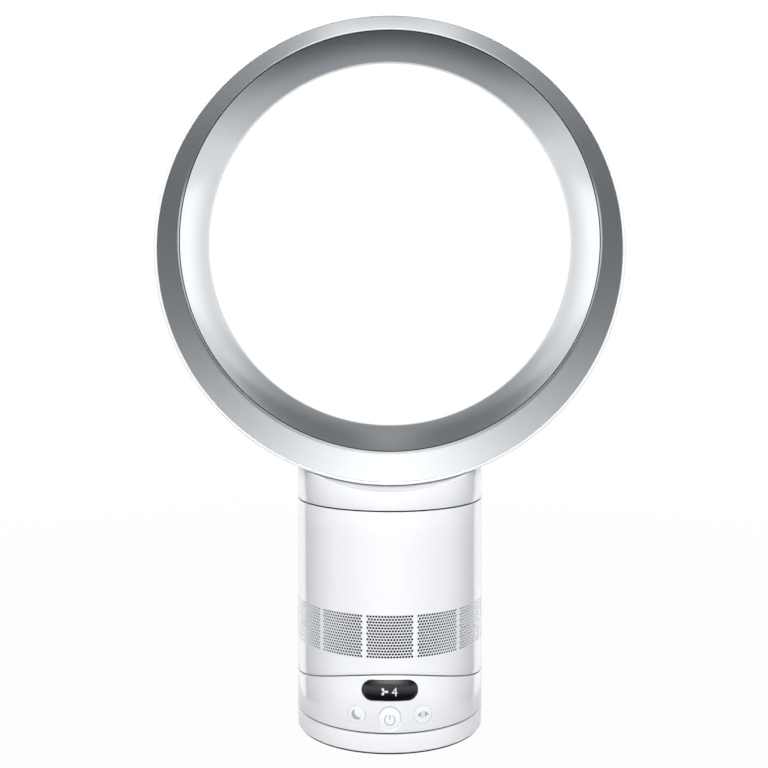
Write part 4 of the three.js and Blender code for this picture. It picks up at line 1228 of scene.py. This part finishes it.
class FAN_OT_buttons(bpy.types.Operator):
    """Build the three round caps and the signs printed on them"""

    bl_idname = "fan.buttons"
    bl_label = "Buttons"

    def execute(self, context):
        column, _, front = sizes()
        places = button_places(front)
        for name, (x, z, size) in places.items():
            self.cap(name, x, z, size, column, front)
        self.signs(places, column.radius, front.print_lift)
        bpy.data.objects["power_sign"].data.transform(self.lean(column, front))
        return {"FINISHED"}

    def lean(self, column, front):
        """Turns the power button's face about its lower edge, so that its top lies deeper."""
        hinge = Matrix.Translation((0, -column.radius, front.power_rise - front.power_radius))
        return hinge @ Matrix.Rotation(-front.power_tilt, 4, "X") @ hinge.inverted()

    def cap(self, name, x, z, size, column, front):
        """A cap whose face follows the column, with a lip and a stem behind the shell."""
        radius = column.radius
        inner = radius - column.wall
        reach = 12 * MM
        face = column_skin("face", inner - 1 * MM, radius, z - reach, z + reach)
        bar = cross_bar("bar", size, x, z, -radius - CUT_REACH, CUT_DEPTH, PILL_SIDES)
        carve(face, bar, "INTERSECT")
        soften(face, front.power_round if name == "power" else front.button_round, 3)
        if name == "power":
            face.data.transform(self.lean(column, front))
        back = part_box(f"{name}_button")[1].y
        lip_front = -math.sqrt(inner**2 - (abs(x) + size) ** 2) if x else -inner + 1 * MM
        stem, lip_wall, chamfer = 2.5 * MM, 1.2 * MM, 0.2 * MM
        lip_size, lip_back = size + front.button_gap + lip_wall, lip_front + lip_wall
        stations = [(lip_size - chamfer, lip_front), (lip_size, lip_front + chamfer)]
        stations += [(lip_size, lip_back), (stem, lip_back), (stem, back)]
        lip = rings("lip", stations, "Y", (x, z), BAR_SIDES, "fill")
        cap = merged([face, lip], f"{name}_cap_skin")
        finish(cap, f"{name}_cap", button_abs(), [f"{name}_button"])

    def signs(self, places, radius, lift):
        """A power sign, a moon and two arrows, in shares of the cap's radius."""
        x, z, size = places["power"]
        arc = flat_ring(0.53 * size, 0.43 * size, x, z - 0.14 * size, 64, math.radians(60))
        stroke = flat_bar(0.11 * size, 0.46 * size, x, z + 0.12 * size)
        signed([arc, stroke], "power_sign", radius, lift, "power_cap")
        x, z, size = places["timer"]
        signed([self.moon(0.58 * size, x, z)], "timer_sign", radius, lift, "timer_cap")
        x, z, size = places["swing"]
        stroke = flat_bar(0.06 * size, 0.8 * size, x, z)
        arrows = [
            flat_disc(0.34 * size, x + side * 0.34 * size, z, 3, (1.2, 0.9), side * math.pi / 2)
            for side in (-1, 1)
        ]
        signed([stroke] + arrows, "swing_sign", radius, lift, "swing_cap")

    def moon(self, radius, x, z):
        """A crescent that opens to the upper right: part of a disc is folded back inwards."""
        moon = flat_disc(radius, x, z, 48)
        fold = x + 0.36 * radius
        for vertex in moon.data.vertices:
            if vertex.co.x > fold:
                vertex.co.x = 2 * fold - vertex.co.x
        middle = Matrix.Translation((x, 0, z))
        moon.data.transform(middle @ Matrix.Rotation(math.radians(-40), 4, "Y") @ middle.inverted())
        return moon


# ---------------------------------------------------------------- foot
class FAN_OT_foot(bpy.types.Operator):
    """Build the foot shell, its rubber ring with a lip of painted shade, the sliding ring with a
    skirt of painted shade, and the power inlet at the rear
    """

    bl_idname = "fan.foot"
    bl_label = "Foot"

    def execute(self, context):
        column, _, front = sizes()
        radius, edge = column.radius, column.edge
        low, top, rounding = column.foot_low, column.foot_top, column.foot_round
        inner = radius - column.wall
        stations = [
            (radius - rounding + r, low + rounding - h)
            for r, h in quarter((0, 0), (rounding, rounding), 1, 0, 6)
        ]
        opening, under = 46 * MM, top - 2 * MM
        stations += rounded(radius, edge, top, -1)[::-1] + [(opening, top), (opening, under)]
        stations += [(inner, under), (inner, low)]
        shell = rings("foot_shell_skin", stations)
        hole, rise = front.inlet_radius + front.button_gap, front.inlet_rise
        carve(shell, cross_bar("inlet_cut", hole, 0, rise, inner - 4 * MM, radius + CUT_REACH))
        finish(shell, "foot", white_abs(), ["foot_shell"], smooth=30)
        # The rubber ring has a thicker root in the foot plate and a thin dark lip on the floor that
        # reaches almost to the shell's edge: the lip is painted shade, the dark line of the foot's
        # contact shadow.
        root, step, lip = 56 * MM, 66 * MM, 71.6 * MM
        chamfer, shade_lip_top, root_top = 0.3 * MM, 1.1 * MM, 2.2 * MM
        # The lip out to near the shell's edge is painted shade under the foot.
        stations = [(root, chamfer), (root + chamfer, 0), (lip - chamfer, 0), (lip, chamfer)]
        stations += [(lip, shade_lip_top), (step, shade_lip_top), (step, root_top), (root, root_top)]
        pad = rings("foot_rubber_ring_and_shade_lip", stations)
        finish(pad, "foot", rubber(), ["foot_ring"], smooth=50)
        self.sliding_ring_and_shade_skirt(column)
        self.inlet(front)
        return {"FINISHED"}

    def sliding_ring_and_shade_skirt(self, column):
        """The ring that the base slides on, with a thin black skirt in the seam between foot and
        base: the skirt is painted shade, so that the seam reads as a dark line.
        """
        low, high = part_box("thrust_washer")
        # The skirt runs out to just inside the shells: a black sheet of painted shade in the seam
        # between foot and base.
        bore, skirt = 50 * MM, column.radius - 1.2 * MM
        shade_skirt_low, shade_skirt_top = column.foot_top + 0.3 * MM, column.base_low - 0.2 * MM
        stations = [(bore, low.z), (high.x, low.z), (high.x, shade_skirt_low), (skirt, shade_skirt_low)]
        stations += [(skirt, shade_skirt_top), (high.x, shade_skirt_top), (high.x, high.z), (bore, high.z)]
        ring = rings("sliding_ring_and_shade_skirt", stations)
        finish(ring, "foot", seam_shade_acetal(), ["thrust_washer"])

    def inlet(self, front):
        """A round socket with a centre pin, on a square block behind the shell."""
        end, centre = front.inlet_end, (0, front.inlet_rise)
        outer, bore, root = front.inlet_radius, front.inlet_bore, end - 6 * MM
        chamfer, mouth, pin_radius, pin_end = 0.3 * MM, 0.4 * MM, 1 * MM, end - 1 * MM
        stations = [(outer, root), (outer, end - chamfer), (outer - chamfer, end)]
        stations += [(bore + mouth, end), (bore, end - mouth), (bore, root + 0.1 * MM)]
        nose = rings("nose", stations, "Y", centre, BAR_SIDES)
        stations = [(pin_radius, root), (pin_radius, pin_end - mouth)]
        stations += [(pin_radius - mouth, pin_end)]
        pin = rings("pin", stations, "Y", centre, 24, "fill")
        fresh()
        low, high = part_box("power_inlet")
        depth = root - low.y
        bpy.ops.mesh.primitive_cube_add(
            size=1,
            location=(0, low.y + depth / 2, front.inlet_rise),
            scale=(high.x - low.x, depth, high.z - low.z),
        )
        block = named("block")
        soften(block, 0.5 * MM, 3)
        inlet = merged([nose, pin, block], "power_inlet_socket")
        finish(inlet, "foot", glass_nylon(), ["power_inlet"])


# ---------------------------------------------------------------- finishes of the inner pieces
INNER_FINISHES = {
    white_abs: ["tilt_cradle", "body_floor"],
    housing_abs: [
        "turntable", "impeller_housing", "inlet_bellmouth", "motor_bucket", "motor_cover",
        "bayonet_ring",
    ],
    glass_nylon: [
        "foot_plate", "pivot_post", "display_module", "impeller", "switch_timer", "switch_power",
        "switch_swing",
    ],
    rubber: [
        "neck_gasket", "housing_seal", "housing_mount_1", "housing_mount_2", "housing_mount_3",
    ],
    acoustic_foam: ["floor_foam"],
    steel: [
        "foot_screw_1", "foot_screw_2", "foot_screw_3", "pivot_retainer", "swing_motor",
        "bearing_lower", "bearing_upper", "motor_shaft", "loop_screw_left", "loop_screw_right",
    ],
    copper_winding: ["motor_stator"],
    circuit_board: ["display_board", "control_board", "driver_board"],
    acetal: ["swing_gear", "swing_pinion", "tilt_rail_left", "tilt_rail_right"],
}


class FAN_OT_inner_finishes(bpy.types.Operator):
    """Give each piece inside the shells its own finish"""

    bl_idname = "fan.inner_finishes"
    bl_label = "Inner Finishes"

    def execute(self, context):
        for finish_of, names in INNER_FINISHES.items():
            for name in names:
                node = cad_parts[name]
                node.data.materials.clear()
                node.data.materials.append(finish_of())
        return {"FINISHED"}


# ---------------------------------------------------------------- studio
def seen(tree):
    """One where a ray comes from the camera or from a mirror or clear surface, else nought."""
    path = add_node(tree, "ShaderNodeLightPath").outputs
    both = calculated(tree, "ADD", path["Is Camera Ray"], path["Is Glossy Ray"])
    return calculated(tree, "ADD", both, path["Is Transmission Ray"], True)


def floor_paper():
    """Matt white paper that shines a little where it is seen, so that it meets the backdrop."""

    def shade(tree, place):
        fibre = noise(tree, place, 300)
        base = tone("floor")
        tint = blend(tree, fibre, darkened(base, 0.01), base)
        paper = principled(tree, {"Base Color": tint, "Roughness": 0.9})
        # Near the fan a share of the paper itself shows, and with it the fan's soft shadow.
        away = vector_node(tree, "LENGTH", place)["Value"]
        whiteness = ranged(tree, away, 0.3, 1.4, 0.96, 1.0)
        amount = calculated(tree, "MULTIPLY", seen(tree), whiteness)
        return mixed(tree, amount, paper, emission(tree))

    return made_once("White studio paper", shade)


def graded_glow_card(name, levels, along, fade):
    """A studio card that glows by itself, its level graded from one level to another: painted light
    that stands for how the studio's light falls on a card.

    along is (axis, start, end). fade is (centre, reach, start, level): beyond the start, a share
    of the reach, the card turns evenly into the level of the studio round it.
    """

    def shade(tree, place):
        axis, start, end = along
        parts = add_node(tree, "ShaderNodeSeparateXYZ", {0: place}).outputs
        # The level is painted light: the card glows at it, and no lamp lights the card.
        level = ranged(tree, parts[axis], start, end, *levels)
        if fade:
            centre, reach, fade_start, studio = fade
            offset = vector_node(tree, "SUBTRACT", place, centre)[0]
            scaled = vector_node(tree, "DIVIDE", offset, reach)[0]
            away = vector_node(tree, "LENGTH", scaled)["Value"]
            level = ranged(tree, away, fade_start, 1.0, level, studio)
        # The photo's darker greys are a little cool, its bright silver is neutral.
        return emission(tree, level, WHITE if max(levels) > 0.6 else COOL_WHITE)

    return made_once(name, shade)


def sideways(reach, start, level):
    """A card's fade towards its left and right ends."""
    endless = 1000
    return (0, 0, 0), (reach, endless, endless), start, level


def area_lamp(name, place, target, size, watts):
    """A softbox that lights the object; mirror-like surfaces see a card in its place."""
    lamp = bpy.data.lights.new(name, "AREA")
    lamp.shape = "RECTANGLE"
    lamp.size, lamp.size_y = size
    lamp.energy = watts
    holder = bpy.data.objects.new(name, lamp)
    bpy.context.scene.collection.objects.link(holder)
    holder.visible_glossy = False
    holder.location = place
    holder.rotation_euler = (Vector(target) - Vector(place)).to_track_quat("-Z", "Y").to_euler()


class FAN_OT_stage(bpy.types.Operator):
    """Set up the floor, the studio light, the cards and the camera"""

    bl_idname = "fan.stage"
    bl_label = "Studio"

    def execute(self, context):
        scene = context.scene
        scene.view_settings.view_transform = "Standard"
        self.world(scene)
        self.floor()
        self.lamps()
        self.cards()
        self.camera(scene)
        return {"FINISHED"}

    def world(self, scene):
        world = bpy.data.worlds.new("Studio")
        scene.world = world
        world.use_nodes = True
        tree = world.node_tree
        tree.nodes.clear()
        output = add_node(tree, "ShaderNodeOutputWorld")
        soft, shown = (
            add_node(tree, "ShaderNodeBackground", {"Color": WHITE, "Strength": level}).outputs[0]
            for level in (0.1, 1.0)
        )
        tree.links.new(mixed(tree, seen(tree), soft, shown), output.inputs["Surface"])

    def floor(self):
        fresh()
        bpy.ops.mesh.primitive_plane_add(size=12, location=(0, 0, 0))
        floor = named("studio_floor")
        floor.data.materials.append(floor_paper())

    def lamps(self):
        area_lamp("front_softbox", (0, -2.6, 1.25), (0, 0, 0.3), (1.4, 1.2), 59)
        area_lamp("top_softbox", (0, -0.9, 2.4), (0, -0.9, 0), (1.6, 2.2), 32)
        for side in (-1, 1):
            area_lamp(f"rim_lamp_{side}", (side * 1.1, 1.57, 0.9), (0, 0, 0.3), (0.8, 1.2), 20)

    def cards(self):
        """Glowing cards that only mirror-like surfaces see: their painted glow grades what the
        silver reflects.
        """
        self.card("front_glow", None, (0, -2.6, 1.25), (1.4, 1.2), (5.2, 5.2))
        # The bevel's top mirrors this one, which lies low in the hole.
        self.card("hole_card", "Z", (0, -0.035, 0.31), (0.08, 0.07), (1.65, 1.65))
        for side in (-1, 1):
            self.side_cards(side)
        # The display window mirrors these two.
        fade = (0, -0.1, 0), (0.12, 1, 0.05), 0.5, 1.3
        self.card("window_card", "Y", (0, -0.1, 0.025), (0.24, 0.05), (0.04, 0.04), fade=fade)
        place = (0, -0.115, 0.002)
        fade = place, (0.08, 0.06, 1), 0.4, 0.8
        self.card("near_floor_card", "Z", place, (0.16, 0.08), (0.08, 0.08), fade=fade)
        # The diffuser's top mirrors the low one, its bottom the others; the last one is a soft
        # light streak just over the column.
        even = (2, 0, 1)
        for name, facing, y, z, size, levels, along, fade in (
            ("low_rear", "Z", 0.705, 0.228, (0.6, 1.19), (0.02, 0.43), (1, 0.19, 0.4),
             sideways(0.3, 0.33, 0.85)),
            ("high_rear", "Y", 1.3, 2.0, (2.6, 1.6), (0.19, 0.19), even,
             sideways(1.3, 0.6, 0.95)),
            ("middle_rear", "Y", 1.3, 1.0, (1.44, 0.4), (0.32, 0.32), even,
             sideways(0.78, 0.5, 0.85)),
            ("streak", "Y", 1.29, 1.6, (0.44, 0.8), (0.46, 0.34), (2, 1.2, 2.0),
             sideways(0.22, 0.1, 0.19)),
        ):
            self.card(f"{name}_card", facing, (0, y, z), size, levels, along, fade)

    def side_cards(self, side):
        """The cards at the left (-1) or right (1) of the fan, graded towards the side."""
        # The bevel mirrors the front and floor cards: bright below the hole, darker towards the
        # sides. The diffuser's sides mirror the rear one.
        for name, facing, near, far, y, z, height, levels, graded in (
            ("front_card", "Y", 0, 0.3, -1.1, 1.05, 0.8, (1.8, 0.88), (0, 0.3)),
            ("front_inner_card", "Y", 0.3, 0.75, -1.1, 1.0, 2.0, (0.8, 0.3), (0.3, 0.75)),
            ("front_outer_card", "Y", 0.75, 2.1, -1.1, 1.0, 2.0, (0.24, 0.05), (0.75, 2.1)),
            ("floor_card", "Z", 0.13, 2.1, -0.66, 0.003, 1.36, (0.42, 0.2), (0.2, 0.8)),
            ("rear_glow", "Y", 0.72, 1.73, 1.3, 0.55, 0.9, (0.78, 1.62), (0.75, 1.25)),
        ):
            place = (side * (near + far) / 2, y, z)
            along = (0, side * graded[0], side * graded[1])
            self.card(f"{name}_{side}", facing, place, (far - near, height), levels, along)
        # The column's polished sides mirror these two: a dark strip, then a bright edge.
        for name, front, rear, levels, graded in (
            ("strip_card", -0.1061, 0.0105, (1.0, 0.0), (-0.106, -0.03)),
            ("edge_card", 0.0105, 0.2001, (2.2, 1.2), (0.01, 0.12)),
        ):
            place = (side * 0.12, (front + rear) / 2, 0.111)
            self.card(f"{name}_{side}", "X", place, (rear - front, 0.218), levels, (1, *graded))

    def card(self, name, facing, place, size, levels, along=(2, 0, 1), fade=None):
        """A card across an axis, or turned to the loop where no axis is named."""
        fresh()
        bpy.ops.mesh.primitive_plane_add(size=1, location=place)
        card = bpy.context.object
        card.scale = (size[0], size[1], 1)
        if facing == "Y":
            card.rotation_euler = FACING_FRONT
        elif facing == "X":
            card.rotation_euler = (QUARTER_TURN, 0, QUARTER_TURN)
        elif facing is None:
            loop_middle = Vector((0, 0, 0.37))
            aim = loop_middle - Vector(place)
            card.rotation_euler = aim.to_track_quat("Z", "Y").to_euler()
        card = named(name)
        card.data.materials.append(graded_glow_card(f"Glow card {name}", levels, along, fade))
        for rays in ("camera", "diffuse", "shadow", "transmission", "volume_scatter"):
            setattr(card, f"visible_{rays}", False)

    def camera(self, scene):
        data = bpy.data.cameras.new("photo_camera")
        data.sensor_width = 36
        data.lens = 54.24
        data.shift_x = -0.0076
        data.shift_y = -0.085
        data.clip_start = 0.01
        data.clip_end = 50
        camera = bpy.data.objects.new("photo_camera", data)
        scene.collection.objects.link(camera)
        camera.location = (0, -0.9211, 0.3337)
        camera.rotation_euler = (math.radians(90 - 0.807), 0, 0)
        scene.camera = camera


# ---------------------------------------------------------------- add-on
class FAN_PT_panel(bpy.types.Panel):
    """Sizes and steps of the desk fan"""

    bl_idname = "FAN_PT_panel"
    bl_label = "Desk Fan"
    bl_space_type = "VIEW_3D"
    bl_region_type = "UI"
    bl_category = "Desk Fan"

    def draw(self, context):
        layout = self.layout
        for group in ("fan_column", "fan_loop", "fan_front", "fan_colours"):
            values = getattr(context.scene, group)
            box = layout.box()
            box.label(text=group.replace("fan_", "").title())
            for key in values.bl_rna.properties.keys():
                if key not in ("rna_type", "name"):
                    box.prop(values, key)
        for step in STEPS:
            layout.operator(step.bl_idname)


STEPS = (
    FAN_OT_stage,
    FAN_OT_air_loop,
    FAN_OT_neck,
    FAN_OT_casing,
    FAN_OT_base,
    FAN_OT_display,
    FAN_OT_buttons,
    FAN_OT_foot,
    FAN_OT_inner_finishes,
)
GROUPS = {
    "fan_column": FanColumnSizes,
    "fan_loop": FanLoopSizes,
    "fan_front": FanFrontSizes,
    "fan_colours": FanColours,
}


def register():
    for name, group in GROUPS.items():
        bpy.utils.register_class(group)
        setattr(bpy.types.Scene, name, bpy.props.PointerProperty(type=group))
    for step in STEPS:
        bpy.utils.register_class(step)
    bpy.utils.register_class(FAN_PT_panel)


def unregister():
    bpy.utils.unregister_class(FAN_PT_panel)
    for step in reversed(STEPS):
        bpy.utils.unregister_class(step)
    for name, group in GROUPS.items():
        delattr(bpy.types.Scene, name)
        bpy.utils.unregister_class(group)


def main():
    register()
    for step in STEPS:
        group, name = step.bl_idname.split(".")
        result = getattr(getattr(bpy.ops, group), name)()
        if result != {"FINISHED"}:
            raise RuntimeError(f"{step.bl_label} did not finish")


if __name__ == "__main__":
    main()
